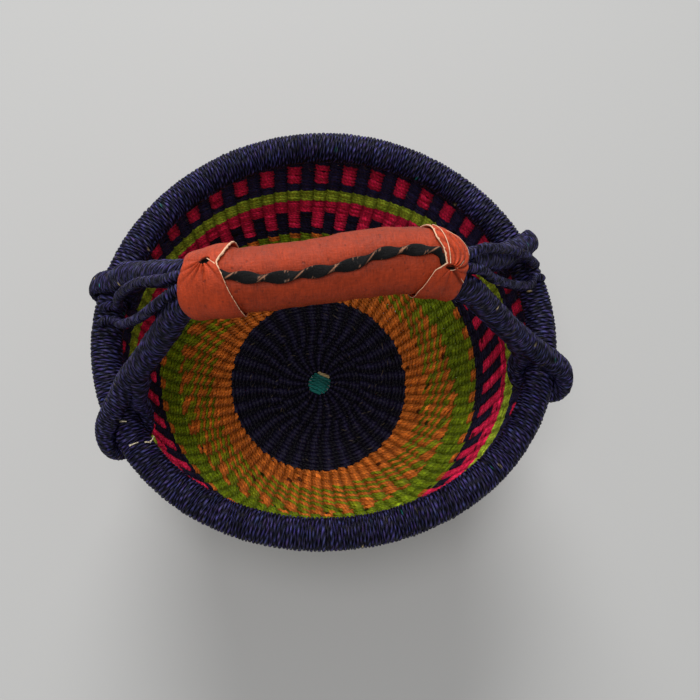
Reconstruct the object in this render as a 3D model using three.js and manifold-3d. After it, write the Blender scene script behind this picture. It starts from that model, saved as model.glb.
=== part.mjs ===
// A round basket of twined straw, with a bound rim and a leather-covered carrying handle.
// Sizes are in millimetres and +Z is up. The origin is on the floor under the middle of the base.
// +X runs along the grip and +Y from the front of the basket to its back.

import * as THREE from "three";
import { mergeVertices } from "three/addons/utils/BufferGeometryUtils.js";
import Module from "manifold-3d";

const wasm = await Module();
wasm.setup();

// Driving dimensions of the bowl
const RIM_RADIUS = 155; // middle of the bound rim, averaged round the oval
const RIM_HEIGHT = 191.5; // the same line's average height
const OVAL = 8.7; // the sides stand out by this, and the front and back come in by it
const SADDLE = 8.5; // the sides dip by this, and the front and back rise by it
const OVAL_STARTS = 20; // height at which the round bowl begins to turn oval
const SADDLE_STARTS = 40; // height at which the rows begin to follow the saddle
const SHAPE_ENDS = 186; // height at which both are complete
const RIM_TUBE = 11.4; // outer radius of the bound rim
const BINDING = 1.7; // thickness of the straw wound round the rim
const WALL = 5; // thickness of the twined wall
const BASE_RADIUS = 86.5; // flat twined base
const START_RADIUS = 11; // knot at the centre where the stakes cross
const GAP = 0.3; // clearance between pieces that touch
const ROUND = 40; // flats round the bowl

// Middle of the wall's thickness, as radius and height, from the base's edge up into the rim
const WALL_LINE = new THREE.SplineCurve(
  [
    [87.5, 3],
    [102, 13],
    [120, 30.5],
    [134, 46.5],
    [143.2, 66],
    [148.6, 88],
    [151.4, 115],
    [153.2, 145],
    [RIM_RADIUS, 182],
  ].map(([radius, height]) => new THREE.Vector2(radius, height)),
);

// Where each colour of weft starts and stops, as a height on the wall
const ORANGE_TOP = 14.3;
const MIXED_TOP = 40;
const GREEN_TOP = 65.5;
const COMB_TOP = 98.5;
const MAGENTA_TOP = 119;
const LIME_TOP = 137.5;

// The rows aren't level: they sag at the back, a little to the right, and run higher elsewhere
const SAG = 14; // how far down the wall, against the rows' height elsewhere
const SAG_DEGREES = 72; // direction of its lowest place from the middle of the basket
const SAG_SPREAD = 38; // degrees to each side in which most of it lies
const SAG_LIFT = 2;
const SAG_HEIGHTS = [30, 66, 140, 182]; // it grows between the first two and fades between the others

// Driving dimensions of the handle
const ROPE = 8.8; // radius of each bound handle rope
const ROPE_BINDING = 1.6; // thickness of the straw wound round it
const ROPE_SPREAD = 8.95; // each rope's distance from the middle of the grip
const CORD = 3.3; // radius of the thin tie cords
const CORD_SPREAD = 3.75; // each cord's distance from the middle of the grip
const CORD_RISE = 11.6; // how far the cords lie above the middle of the grip
const CORD_SPAN = 5.3; // half the distance between a cord's two strands at the rim
const PACKING = 5.7; // radius of the straw packing that rounds the grip out
const PACKING_RISE = 12.05; // its distance above or below the middle of the grip
const LEATHER = 1.2; // thickness of the grip's leather
const SLEEVE_BORE = 18.2; // inner radius of the sleeve
const SLEEVE_RADIUS = SLEEVE_BORE + LEATHER;
const LACE_WIDTH = 5.6;
const LACE_THICKNESS = 1.4;
const LACE_HALF_TURNS = 7;
const LACE_LEANS = [-21, -4]; // degrees from the top of the grip at its left and right end

// Middle of the grip, from the left mouth of the leather to the right one
const GRIP_LINE = new THREE.CatmullRomCurve3(
  [
    [-93, 2, 305.5],
    [-80, 0.5, 316],
    [-58, -1, 322.5],
    [-12, -0.5, 325],
    [32, 1.5, 323.5],
    [56, -1, 318.5],
    [75, -5, 306.5],
  ].map((point) => new THREE.Vector3(...point)),
);

// The sweep of a rope or cord: a section is cut at equal shares of each stretch between two points,
// so that close points give the tight bends more sections than the straight legs.
class RopeLine extends THREE.CatmullRomCurve3 {
  constructor(points) {
    super(points, false, "centripetal");
  }
  getPointAt(share, target) {
    return this.getPoint(share, target);
  }
  getTangentAt(share, target) {
    return this.getTangent(share, target);
  }
}

// A closed mesh as a solid whose faces point out
function solidOf(geometry) {
  const bare = geometry.index ? geometry.toNonIndexed() : geometry.clone();
  bare.deleteAttribute("normal");
  bare.deleteAttribute("uv");
  const merged = mergeVertices(bare, 1e-3);
  const corners = [];
  for (let i = 0; i < merged.index.count; i += 3) {
    const [a, b, c] = merged.index.array.slice(i, i + 3);
    if (a !== b && b !== c && c !== a) corners.push([a, b, c]);
  }
  const build = (faces) =>
    new wasm.Manifold(
      new wasm.Mesh({
        numProp: 3,
        vertProperties: merged.attributes.position.array,
        triVerts: new Uint32Array(faces.flat()),
      }),
    );
  const solid = build(corners);
  return solid.volume() < 0 ? build(corners.map((face) => face.reverse())) : solid;
}

// A solid as a three.js geometry
function geometryOf(solid) {
  const mesh = solid.getMesh();
  const geometry = new THREE.BufferGeometry();
  geometry.setAttribute("position", new THREE.BufferAttribute(mesh.vertProperties, 3));
  geometry.setIndex(new THREE.BufferAttribute(mesh.triVerts, 1));
  return geometry;
}

// Moves each point of a round shape to its place on the oval, saddle-shaped bowl
function shapeBowl(geometry) {
  const places = geometry.attributes.position;
  const point = new THREE.Vector3();
  for (let i = 0; i < places.count; i++) {
    point.fromBufferAttribute(places, i);
    const angle = Math.atan2(point.y, point.x);
    const wave = Math.cos(2 * angle);
    const stretch = OVAL * wave * THREE.MathUtils.smoothstep(point.z, OVAL_STARTS, SHAPE_ENDS);
    const lift = -SADDLE * wave * THREE.MathUtils.smoothstep(point.z, SADDLE_STARTS, SHAPE_ENDS);
    const radius = Math.hypot(point.x, point.y);
    const reach = radius < 1 ? 0 : radius + stretch;
    places.setXYZ(i, reach * Math.cos(angle), reach * Math.sin(angle), point.z + lift);
  }
  return geometry;
}

// A ring of the bowl from its closed section of radius and height
function ring(section) {
  const closed = [...section, section[0]].map(([radius, height]) => new THREE.Vector2(radius, height));
  const lathe = new THREE.LatheGeometry(closed, ROUND);
  return solidOf(shapeBowl(lathe.rotateX(Math.PI / 2)));
}

// How far along the wall's line, as a share of its length, a height lies
function shareAtHeight(height) {
  let low = 0;
  let high = 1;
  for (let i = 0; i < 30; i++) {
    const middle = (low + high) / 2;
    if (WALL_LINE.getPointAt(middle).y < height) low = middle;
    else high = middle;
  }
  return high;
}

// How far up the wall a row lies from its average height
function rowShift(height, angle) {
  const away = THREE.MathUtils.radToDeg(angle) - SAG_DEGREES;
  const turned = THREE.MathUtils.euclideanModulo(away + 180, 360) - 180;
  const shift = SAG_LIFT - SAG * Math.exp(-((turned / SAG_SPREAD) ** 2));
  const [starts, full, fades, ends] = SAG_HEIGHTS;
  const { smoothstep } = THREE.MathUtils;
  return shift * smoothstep(height, starts, full) * (1 - smoothstep(height, fades, ends));
}

// Bends a round ring, whose radius is a distance out from LATHE_RADIUS and whose height is a share
// of the wall's line, to the wall
const LATHE_RADIUS = 100;

function layOnWall(geometry) {
  const places = geometry.attributes.position;
  const point = new THREE.Vector3();
  for (let i = 0; i < places.count; i++) {
    point.fromBufferAttribute(places, i);
    const angle = Math.atan2(point.y, point.x);
    const out = Math.hypot(point.x, point.y) - LATHE_RADIUS;
    const shift = rowShift(WALL_LINE.getPointAt(point.z).y, angle) / WALL_LINE.getLength();
    const middle = WALL_LINE.getPointAt(point.z + shift);
    const along = WALL_LINE.getTangentAt(point.z + shift);
    const radius = middle.x + along.y * out;
    places.setXYZ(i, radius * Math.cos(angle), radius * Math.sin(angle), middle.y - along.x * out);
  }
  return geometry;
}

// One band of weft: the wall's line between two heights, thickened to both sides
function band(lowHeight, highHeight, steps) {
  const trim = GAP / 2 / WALL_LINE.getLength();
  const start = shareAtHeight(lowHeight) + trim;
  const end = shareAtHeight(highHeight) - trim;
  const outside = [];
  const inside = [];
  for (let i = 0; i <= steps; i++) {
    const share = start + ((end - start) * i) / steps;
    outside.push(new THREE.Vector2(LATHE_RADIUS + WALL / 2, share));
    inside.unshift(new THREE.Vector2(LATHE_RADIUS - WALL / 2, share));
  }
  const lathe = new THREE.LatheGeometry([...outside, ...inside, outside[0]], ROUND);
  return solidOf(shapeBowl(layOnWall(lathe.rotateX(Math.PI / 2))));
}

// Directions round the rim's section that its core and its binding share, from beside the wall's
// slot on the outside, over the top, to beside the slot on the inside
const SLOT_HALF = WALL / 2 + GAP;
const RIM_SIDES = 12;
const rimSection = (radius) => {
  const points = [];
  for (let i = -2; i <= 8; i++) {
    const turn = (i * 2 * Math.PI) / RIM_SIDES;
    points.push([RIM_RADIUS + radius * Math.cos(turn), RIM_HEIGHT + radius * Math.sin(turn)]);
  }
  return points;
};
const CORE_RADIUS = RIM_TUBE - BINDING - GAP;

function rimCore() {
  return ring([...rimSection(CORE_RADIUS), [RIM_RADIUS, RIM_HEIGHT - CORE_RADIUS]]);
}

// The binding is a sheath that is open underneath, where the wall goes in
function rimBinding() {
  const lip = (radius, side) => [
    RIM_RADIUS + side * SLOT_HALF,
    RIM_HEIGHT - Math.sqrt(radius ** 2 - SLOT_HALF ** 2),
  ];
  const inner = RIM_TUBE - BINDING;
  return ring([
    lip(RIM_TUBE, 1),
    ...rimSection(RIM_TUBE),
    lip(RIM_TUBE, -1),
    lip(inner, -1),
    ...rimSection(inner).reverse(),
    lip(inner, 1),
  ]);
}

// A round section carried along a line, with its two ends closed
function sweep(points, radius, sides, stepsBetween) {
  const section = new THREE.Shape();
  for (let i = 0; i < sides; i++) {
    const turn = ((i + 0.5) * 2 * Math.PI) / sides;
    const corner = [radius * Math.cos(turn), radius * Math.sin(turn)];
    if (i === 0) section.moveTo(...corner);
    else section.lineTo(...corner);
  }
  section.closePath();
  const path = new RopeLine(points);
  const steps = (points.length - 1) * stepsBetween;
  return new THREE.ExtrudeGeometry(section, { steps, bevelEnabled: false, extrudePath: path });
}

const rope = (points, radius, sides, stepsBetween) => solidOf(sweep(points, radius, sides, stepsBetween));

// The point beside the rim at an angle round the basket: out from the basket, up, and along the rim
function besideRim(degrees, out, up, along) {
  const angle = THREE.MathUtils.degToRad(degrees) + along / RIM_RADIUS;
  const radius = RIM_RADIUS + OVAL * Math.cos(2 * angle);
  const growth = -2 * OVAL * Math.sin(2 * angle);
  const tangent = new THREE.Vector2(growth, radius).normalize().rotateAround(new THREE.Vector2(), angle);
  return new THREE.Vector3(
    radius * Math.cos(angle) + tangent.y * out,
    radius * Math.sin(angle) - tangent.x * out,
    RIM_HEIGHT - SADDLE * Math.cos(2 * angle) + up,
  );
}

// Presses a rope flat against the rim that it goes round. keep is the share of its thickness left.
const PRESS_FROM = RIM_TUBE + GAP + 0.1; // a rope's nearest side lies this far from the rim's middle
const PRESS_FULL = 30;
const PRESS_NONE = 56;

function pressToRim(geometry, keep) {
  const places = geometry.attributes.position;
  const point = new THREE.Vector3();
  for (let i = 0; i < places.count; i++) {
    point.fromBufferAttribute(places, i);
    const degrees = THREE.MathUtils.radToDeg(Math.atan2(point.y, point.x));
    const middle = besideRim(degrees, 0, 0, 0);
    const away = point.clone().sub(middle);
    const distance = away.length();
    const share = THREE.MathUtils.lerp(keep, 1, THREE.MathUtils.smoothstep(distance, PRESS_FULL, PRESS_NONE));
    away.multiplyScalar((PRESS_FROM + (distance - PRESS_FROM) * share) / distance);
    places.setXYZ(i, ...middle.add(away));
  }
  return geometry;
}

// The eyelet at each foot of the handle goes over the rim, down outside it, under it through the
// wall and up again inside, where its tail joins the leg. degrees is its place round the basket,
// start, slant and drift say how it slides along the rim as it goes round, keep is how flat it lies
// on the rim, and leg lists the leg's points from the grip down to the rim.
const EYELET = PRESS_FROM + ROPE;
const FEET = {
  left_front: {
    degrees: 198.5,
    start: -11,
    slant: 19,
    drift: 6,
    keep: 0.64,
    leg: [[-108, -15, 281], [-125, -23.5, 253], [-142, -31.5, 227]],
  },
  right_front: {
    degrees: 343.4,
    start: 10,
    slant: -16,
    drift: -6,
    keep: 0.8,
    leg: [[92, -17, 280], [112, -25.5, 254], [133, -33, 229]],
  },
  left_back: {
    degrees: 162,
    start: 0,
    slant: 3,
    drift: 0,
    keep: 0.44,
    leg: [[-108, 23, 279], [-125, 35, 250], [-142, 46, 225]],
  },
  right_back: {
    degrees: 18.9,
    start: -3,
    slant: 5,
    drift: 0,
    keep: 0.52,
    leg: [[94, 12, 284], [113, 22, 256], [135, 36, 230]],
  },
};

// A point of an eyelet, by the turn round the rim's section: 90 is on top, 0 outside, -90 below
function eyeletPoint(foot, turn) {
  const share = (90 - turn) / 270;
  const along = foot.start + foot.slant * Math.sin(Math.PI * share) + foot.drift * share;
  const angle = THREE.MathUtils.degToRad(turn);
  return besideRim(foot.degrees, EYELET * Math.cos(angle), EYELET * Math.sin(angle), along);
}

const vectors = (points) => points.map((point) => new THREE.Vector3(...point));
const eyeletOver = (foot) => [48, 12, -24, -60, -96].map((turn) => eyeletPoint(foot, turn));

// The tail starts under the rim inside the eyelet's own thickness and ends inside the leg, between
// the two lowest of the leg's points
const TAIL_RISE = 15; // height above the rim's middle at which the tail leaves the rim
function eyeletTail(foot) {
  const [, middle, low] = vectors(foot.leg);
  const join = middle.clone().lerp(low, 0.55);
  const inside = besideRim(foot.degrees, -EYELET - 1, TAIL_RISE, foot.start + 0.6 * foot.drift);
  return [...[-66, -102, -138, -174].map((turn) => eyeletPoint(foot, turn)), inside, join];
}

// The stretch of a handle rope that runs in the grip, beside its middle line
function gripStretch(sideways, rise, shares) {
  return shares.map((share) => {
    const along = GRIP_LINE.getTangentAt(share);
    const across = new THREE.Vector3(0, 1, 0).addScaledVector(along, -along.y).normalize();
    const over = along.clone().cross(across);
    return GRIP_LINE.getPointAt(share).addScaledVector(across, sideways).addScaledVector(over, rise);
  });
}

// Each handle rope has one straw core, which runs from a little way above its left eyelet over the
// grip to a little way above its right one. Each leg has its own binding, eyelet and all, which ends
// under the leather.
const GRIP_SHARES = [0.02, 0.22, 0.42, 0.58, 0.78, 0.98];

function ropeCore(leftFoot, rightFoot, sideways, radius) {
  const left = vectors(leftFoot.leg).reverse();
  const right = vectors(rightFoot.leg);
  const grip = gripStretch(sideways, 0, GRIP_SHARES);
  return rope([left[1], left[2], ...grip, right[0], right[1]], radius, 8, 3);
}

function footRope(foot, grip, radius) {
  const leg = sweep([...grip, ...vectors(foot.leg), ...eyeletOver(foot)], radius, 8, 3);
  const tail = sweep(eyeletTail(foot), radius, 8, 2);
  return solidOf(pressToRim(leg, foot.keep)).add(solidOf(pressToRim(tail, foot.keep)));
}

function legBinding(foot, sideways, shares, bore) {
  return footRope(foot, gripStretch(sideways, 0, shares), ROPE).subtract(bore);
}

function handleRope(leftFoot, rightFoot, sideways) {
  const coreRadius = ROPE - ROPE_BINDING - GAP;
  const bore = ropeCore(leftFoot, rightFoot, sideways, coreRadius + GAP);
  return {
    core: ropeCore(leftFoot, rightFoot, sideways, coreRadius),
    left: legBinding(leftFoot, sideways, GRIP_SHARES.slice(0, 3).reverse(), bore),
    right: legBinding(rightFoot, sideways, GRIP_SHARES.slice(3), bore),
  };
}

const front = handleRope(FEET.left_front, FEET.right_front, -ROPE_SPREAD);
const back = handleRope(FEET.left_back, FEET.right_back, ROPE_SPREAD);

// A tie cord's two ends lie in the groove over the ropes. It runs down to the rim on both sides of
// the gap between the legs, dives into the top of the rim and turns back inside the rim's core.
// The lists are its points between grip and rim, and dive lists where it goes out from the rim's
// middle and up as it enters the rim.
const TIES = {
  left: {
    degrees: 170.4,
    shares: [0.2, 0.13, 0.07],
    back: [[-101.5, 6, 314], [-112, 12, 298], [-124.5, 19.5, 275], [-136, 25.5, 249], [-146, 30, 222]],
    front: [[-101.5, -5, 315], [-109.5, -6, 304], [-122, -2, 275], [-137, 5.5, 241], [-147, 13, 217]],
    dive: [[-9, 20], [-2, 16.2], [2.5, 11], [2.5, 3.5]],
  },
  right: {
    degrees: 10.4,
    shares: [0.83, 0.88, 0.93],
    back: [[84, 6.5, 318], [100, 13, 298], [119, 21.5, 271], [135, 24.5, 251], [151.5, 27, 224]],
    front: [[82, -5, 314], [96.5, -3, 290], [116, 2, 260], [135.5, 8, 234], [149.5, 14, 217]],
    dive: [[-4, 20.5], [1, 16.5], [5.5, 11], [4, 3.5]],
  },
};

function tieLine(tie) {
  const side = Math.cos(THREE.MathUtils.degToRad(tie.degrees)) > 0 ? 1 : -1;
  const pass = (along) => tie.dive.map(([out, up]) => besideRim(tie.degrees, out, up, along * side));
  const turn = besideRim(tie.degrees, 2, -0.5, 0);
  return [
    ...gripStretch(CORD_SPREAD, CORD_RISE, tie.shares),
    ...vectors(tie.back),
    ...pass(CORD_SPAN),
    turn,
    ...pass(-CORD_SPAN).reverse(),
    ...vectors(tie.front).reverse(),
    ...gripStretch(-CORD_SPREAD, CORD_RISE, tie.shares).reverse(),
  ];
}

const tieCord = (tie, radius) => rope(tieLine(tie), radius, 6, 2);

function cutForCords(solid) {
  return Object.values(TIES).reduce((piece, tie) => piece.subtract(tieCord(tie, CORD + GAP)), solid);
}

// The top band is pierced where the eyelets go under the rim
function topBand() {
  return Object.values(FEET).reduce(
    (piece, foot) => piece.subtract(footRope(foot, [], ROPE + 1.5 * GAP)),
    band(LIME_TOP, WALL_LINE.getPointAt(1).y, 3),
  );
}

// Leather made round the grip's line: its section lists a share of the line and a radius
function leather(section) {
  const closed = [...section, section[0]].map(([share, radius]) => new THREE.Vector2(radius, share));
  const lathe = new THREE.LatheGeometry(closed, 20);
  const places = lathe.attributes.position;
  for (let i = 0; i < places.count; i++) {
    const [point] = gripStretch(places.getX(i), places.getZ(i), [places.getY(i)]);
    places.setXYZ(i, point.x, point.y, point.z);
  }
  return solidOf(lathe);
}

// A sheath of the given radii outside, with the leather's thickness inside them
function sheath(profile) {
  return leather([...profile, ...profile.map(([share, radius]) => [share, radius - LEATHER]).reverse()]);
}

const LEFT_MOUTH = 0.083;
const LEFT_CUFF_END = 0.205;
const RIGHT_CUFF_START = 0.838;
const RIGHT_MOUTH = 0.922;
const CUFF_LAP = 0.05; // how far a cuff laps over the sleeve, as a share of the grip
const CUFF_FALL = 0.022; // how far past the sleeve's end it draws in, as a share of the grip
const CUFF_RADIUS = SLEEVE_RADIUS + LEATHER + 2 * GAP;

function sleeve() {
  const start = LEFT_CUFF_END - CUFF_LAP;
  const end = RIGHT_CUFF_START + CUFF_LAP;
  const shares = [0, 0.14, 0.3, 0.5, 0.7, 0.86, 1].map((part) => start + (end - start) * part);
  return sheath(shares.map((share) => [share, SLEEVE_RADIUS]));
}

// The leather cuff laps over the sleeve at its inner end and hugs the ropes at the mouth
function cuff(innerEnd, mouth) {
  const inward = Math.sign(mouth - innerEnd);
  return sheath([
    [innerEnd, CUFF_RADIUS],
    [innerEnd + inward * (CUFF_LAP + CUFF_FALL / 3), CUFF_RADIUS],
    [innerEnd + inward * (CUFF_LAP + CUFF_FALL), SLEEVE_RADIUS + GAP],
    [mouth, SLEEVE_RADIUS],
  ]);
}

// A flat strip of leather twisted along the top of the sleeve, towards its front
function lace() {
  const start = LEFT_CUFF_END + 0.01;
  const end = RIGHT_CUFF_START - 0.01;
  const steps = 6 * LACE_HALF_TURNS;
  const ride = SLEEVE_RADIUS + GAP + Math.hypot(LACE_WIDTH, LACE_THICKNESS) / 2;
  const places = [];
  for (let i = 0; i <= steps; i++) {
    const part = i / steps;
    const shift = THREE.MathUtils.smoothstep(part, 0.3, 0.9);
    const lean = THREE.MathUtils.degToRad(THREE.MathUtils.lerp(...LACE_LEANS, shift));
    const twist = part * LACE_HALF_TURNS * Math.PI;
    for (const [wide, thick] of [[1, 1], [-1, 1], [-1, -1], [1, -1]]) {
      const across = (wide * LACE_WIDTH * Math.cos(twist) - thick * LACE_THICKNESS * Math.sin(twist)) / 2;
      const over = (wide * LACE_WIDTH * Math.sin(twist) + thick * LACE_THICKNESS * Math.cos(twist)) / 2;
      const sideways = Math.sin(lean) * (ride + over) + Math.cos(lean) * across;
      const rise = Math.cos(lean) * (ride + over) - Math.sin(lean) * across;
      places.push(...gripStretch(sideways, rise, [start + (end - start) * part])[0].toArray());
    }
  }
  const faces = [0, 1, 2, 0, 2, 3];
  for (let i = 0; i < steps; i++) {
    for (let side = 0; side < 4; side++) {
      const next = (side + 1) % 4;
      const [a, b] = [4 * i + side, 4 * i + next];
      faces.push(a, a + 4, b, b, a + 4, b + 4);
    }
  }
  const last = 4 * steps;
  faces.push(last, last + 2, last + 1, last, last + 3, last + 2);
  const geometry = new THREE.BufferGeometry();
  geometry.setAttribute("position", new THREE.Float32BufferAttribute(places, 3));
  geometry.setIndex(faces);
  return solidOf(geometry);
}

// Straw packing that lies in the grooves over and under the two ropes
const packing = (rise) => rope(gripStretch(0, rise, [0.23, 0.38, 0.52, 0.66, 0.8]), PACKING, 8, 1);

// Colours and finishes
const straw = (color) => new THREE.MeshStandardMaterial({ color, roughness: 0.75, metalness: 0 });
const navyStraw = straw(0x232140);
const orangeStraw = straw(0xb25f26);
const mixedStraw = straw(0x8a7a24);
const greenStraw = straw(0x465c0f);
const magentaStraw = straw(0x8c1630);
const limeStraw = straw(0x647619);
const tealStraw = straw(0x195a55);
const paleStraw = straw(0xc9b482);
const tanLeather = new THREE.MeshStandardMaterial({ color: 0xaf5032, roughness: 0.55, metalness: 0 });
const blackLeather = new THREE.MeshStandardMaterial({ color: 0x23262a, roughness: 0.45, metalness: 0 });

const basket = new THREE.Group();
const bowl = new THREE.Group();
const rim = new THREE.Group();
const handle = new THREE.Group();
basket.add(bowl, rim, handle);

function place(group, name, solid, material) {
  const mesh = new THREE.Mesh(geometryOf(solid), material);
  mesh.name = name;
  group.add(mesh);
}

place(bowl, "centre_start", ring([[0, 0], [START_RADIUS, 0], [START_RADIUS, WALL], [0, WALL]]), tealStraw);
place(
  bowl,
  "base_weave",
  ring([
    [START_RADIUS + GAP, 0],
    [BASE_RADIUS - 1, 0],
    [BASE_RADIUS + 1.2, 1.2],
    [BASE_RADIUS - 1.6, WALL],
    [START_RADIUS + GAP, WALL],
  ]),
  navyStraw,
);
place(bowl, "orange_weave", band(WALL_LINE.getPointAt(0).y, ORANGE_TOP, 2), orangeStraw);
place(bowl, "mixed_weave", band(ORANGE_TOP, MIXED_TOP, 2), mixedStraw);
place(bowl, "green_weave", band(MIXED_TOP, GREEN_TOP, 2), greenStraw);
place(bowl, "comb_weave", band(GREEN_TOP, COMB_TOP, 2), navyStraw);
place(bowl, "magenta_weave", band(COMB_TOP, MAGENTA_TOP, 1), magentaStraw);
place(bowl, "lime_weave", band(MAGENTA_TOP, LIME_TOP, 1), limeStraw);
place(bowl, "top_weave", topBand(), navyStraw);

place(rim, "rim_core", cutForCords(rimCore()), paleStraw);
place(rim, "rim_binding", cutForCords(rimBinding()), navyStraw);

place(handle, "front_rope_core", front.core, paleStraw);
place(handle, "back_rope_core", back.core, paleStraw);
place(handle, "left_front_leg_binding", front.left, navyStraw);
place(handle, "right_front_leg_binding", front.right, navyStraw);
place(handle, "left_back_leg_binding", back.left, navyStraw);
place(handle, "right_back_leg_binding", back.right, navyStraw);
place(handle, "left_tie_cord", tieCord(TIES.left, CORD), navyStraw);
place(handle, "right_tie_cord", tieCord(TIES.right, CORD), navyStraw);
place(handle, "upper_grip_packing", packing(PACKING_RISE), paleStraw);
place(handle, "lower_grip_packing", packing(-PACKING_RISE), paleStraw);
place(handle, "leather_sleeve", sleeve(), tanLeather);
place(handle, "left_leather_cuff", cuff(LEFT_CUFF_END, LEFT_MOUTH), tanLeather);
place(handle, "right_leather_cuff", cuff(RIGHT_CUFF_START, RIGHT_MOUTH), tanLeather);
place(handle, "black_leather_lace", lace(), blackLeather);

export default basket;
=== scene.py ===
"""A round straw market basket: twined wall, bound rim and a leather-covered carrying handle.

Lengths are in metres and angles in radians. +Z is up, +X runs along the grip to the right, and the
origin is on the floor under the middle of the base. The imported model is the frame, and each piece
made here stands where the model has it.
"""

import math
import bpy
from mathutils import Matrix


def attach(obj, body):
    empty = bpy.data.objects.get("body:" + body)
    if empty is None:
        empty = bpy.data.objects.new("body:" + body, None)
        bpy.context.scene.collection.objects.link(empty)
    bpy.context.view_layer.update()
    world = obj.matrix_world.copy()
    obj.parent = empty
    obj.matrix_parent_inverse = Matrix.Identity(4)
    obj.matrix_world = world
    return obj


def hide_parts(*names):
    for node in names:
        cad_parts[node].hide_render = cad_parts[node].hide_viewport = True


bl_info = {
    "name": "Straw market basket",
    "version": (1, 0, 0),
    "blender": (4, 5, 0),
    "location": "View3D > Sidebar > Basket",
    "description": "Twines, binds and covers a round straw basket around its packed model",
    "category": "Add Mesh",
}

from collections import namedtuple

import bpy
import numpy as np
from bpy.props import FloatProperty, FloatVectorProperty, PointerProperty
from mathutils import Matrix, Vector

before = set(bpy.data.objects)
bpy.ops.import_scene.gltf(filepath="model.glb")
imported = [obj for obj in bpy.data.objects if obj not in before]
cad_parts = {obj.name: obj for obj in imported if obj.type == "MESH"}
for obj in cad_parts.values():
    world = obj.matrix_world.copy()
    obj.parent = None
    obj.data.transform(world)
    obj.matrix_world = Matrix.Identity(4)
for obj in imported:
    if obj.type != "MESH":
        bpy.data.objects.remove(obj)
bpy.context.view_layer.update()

BODY = "root"
MM = 0.001

# Driving dimensions of the bowl, as in the model
RIM_RADIUS = 0.155
RIM_HEIGHT = 0.1915
OVAL = 0.0087  # the sides stand out by this, and the front and back come in by it
SADDLE = 0.0085  # the sides dip by this, and the front and back rise by it
OVAL_STARTS = 0.020
SADDLE_STARTS = 0.040
SHAPE_ENDS = 0.186
RIM_TUBE = 0.0114
BASE_RADIUS = 0.0865
BASE_MIDDLE = 0.0028  # height of the middle of the base's weft

# Middle of the wall's thickness, as radius and height in millimetres
WALL_POINTS = [
    (87.5, 3.2),
    (102, 13),
    (120, 30.5),
    (134, 46.5),
    (143.2, 66),
    (148.6, 88),
    (151.4, 115),
    (153.2, 145),
    (155, 182),
]

# Where each colour of weft stops, as a height on the wall
ORANGE_TOP = 0.0143
MIXED_TOP = 0.040
GREEN_TOP = 0.0655
COMB_TOP = 0.0985
MAGENTA_TOP = 0.119
LIME_TOP = 0.1375
WEFT_TOP = 0.1815

# The rows sag at the back: how far, round which direction and over how many degrees, how much
# higher they run elsewhere, and the heights between which the sag grows and fades
SAG = 0.014
SAG_DEGREES = 72
SAG_SPREAD = 38
SAG_LIFT = 0.002
SAG_HEIGHTS = (0.030, 0.066, 0.140, 0.182)

# Stakes round the base's middle, round its edge, round the lower wall and round the upper wall
INNER_STAKES = 20
BASE_STAKES = 32
LOWER_STAKES = 66
WALL_STAKES = 84
STAKES_JOIN = 0.040  # radius at which more stakes join those of the middle
KNOT_EDGE = 0.0112  # radius at which the weft starts

# Where the mixed rows, the green and the comb end early or late, as degrees round the wall and rows
MIXED_EDGE = [(-60, 0), (-45, -1), (-20, -1), (-12, -2), (0, -3), (40, -4), (70, 0)]
GREEN_EDGE = [(-85, 0), (-70, 2), (-47, 2), (-39, 1), (-31, 0), (-20, -1), (17, -1), (40, 0)]
COMB_EDGE = [(-85, 0), (-65, -2), (-53, -2), (-36, -1), (-27, 2), (-18, 3), (12, 3), (40, 0)]

# The wall's bands from the base up: piece, slot, model node, height at its top, stakes, how far its
# strands slant, and the share of places where its two colours are swapped
Band = namedtuple("Band", "piece slot node top stakes slope stray")
BANDS = [
    Band("orange_weft", "orange_straw", "orange_weave", ORANGE_TOP, LOWER_STAKES, 0.8, 0),
    Band("mixed_weft", "mixed_straw", "mixed_weave", MIXED_TOP, LOWER_STAKES, 1.4, 0.04),
    Band("green_weft", "green_straw", "green_weave", GREEN_TOP, WALL_STAKES, 0.65, 0),
    Band("comb_weft", "navy_straw", "comb_weave", COMB_TOP, WALL_STAKES, 0.65, 0),
    Band("magenta_weft", "magenta_straw", "magenta_weave", MAGENTA_TOP, WALL_STAKES, 0.65, 0),
    Band("lime_weft", "lime_straw", "lime_weave", LIME_TOP, WALL_STAKES, 0.65, 0),
    Band("top_weft", "navy_straw", "top_weave", WEFT_TOP, WALL_STAKES, 0.65, 0),
]

# Rows of the teeth's plain navy foot, of plain navy under the squares, and of the squares
TOOTH_FOOT = 2
SQUARE_FOOT = 3
SQUARES = 6

# The wall's stakes lean towards the back and stand closer at the sides, and the base's swirl round
# its middle, in radians. The lean is whole at one height, and the swirl fades between two radii.
LEAN = 0.10
CROWD = 0.08
SWIRL = 0.25
LEAN_WHOLE = 0.125
SWIRL_FADES = (0.015, 0.06)

# Driving dimensions of the handle, as in the model
ROPE = 0.0088
ROPE_SPREAD = 0.00895  # each rope's distance from the middle of the grip
CORD = 0.0033
CORD_SPREAD = 0.00375
CORD_RISE = 0.0116
CORD_SPAN = 0.0053  # half the distance between a cord's two strands at the rim
SLEEVE_RADIUS = 0.0194
LEATHER = 0.0012

# Distances from the rim's middle: its surface, and where a rope's pressed zone ends and has faded.
# An eyelet bites a little into the rim's straw.
PRESS_FROM = RIM_TUBE + 0.0004
PRESS_FULL = 0.030
PRESS_NONE = 0.056
EYELET_BITE = 0.0009
EYELET = PRESS_FROM + ROPE - EYELET_BITE

# How far a turn of straw tilts along a leg and along a cord
LEG_TILT = 0.0022
CORD_TILT = 0.0011

TWIST = 0.0036  # distance round a strand in which its twist repeats

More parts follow.
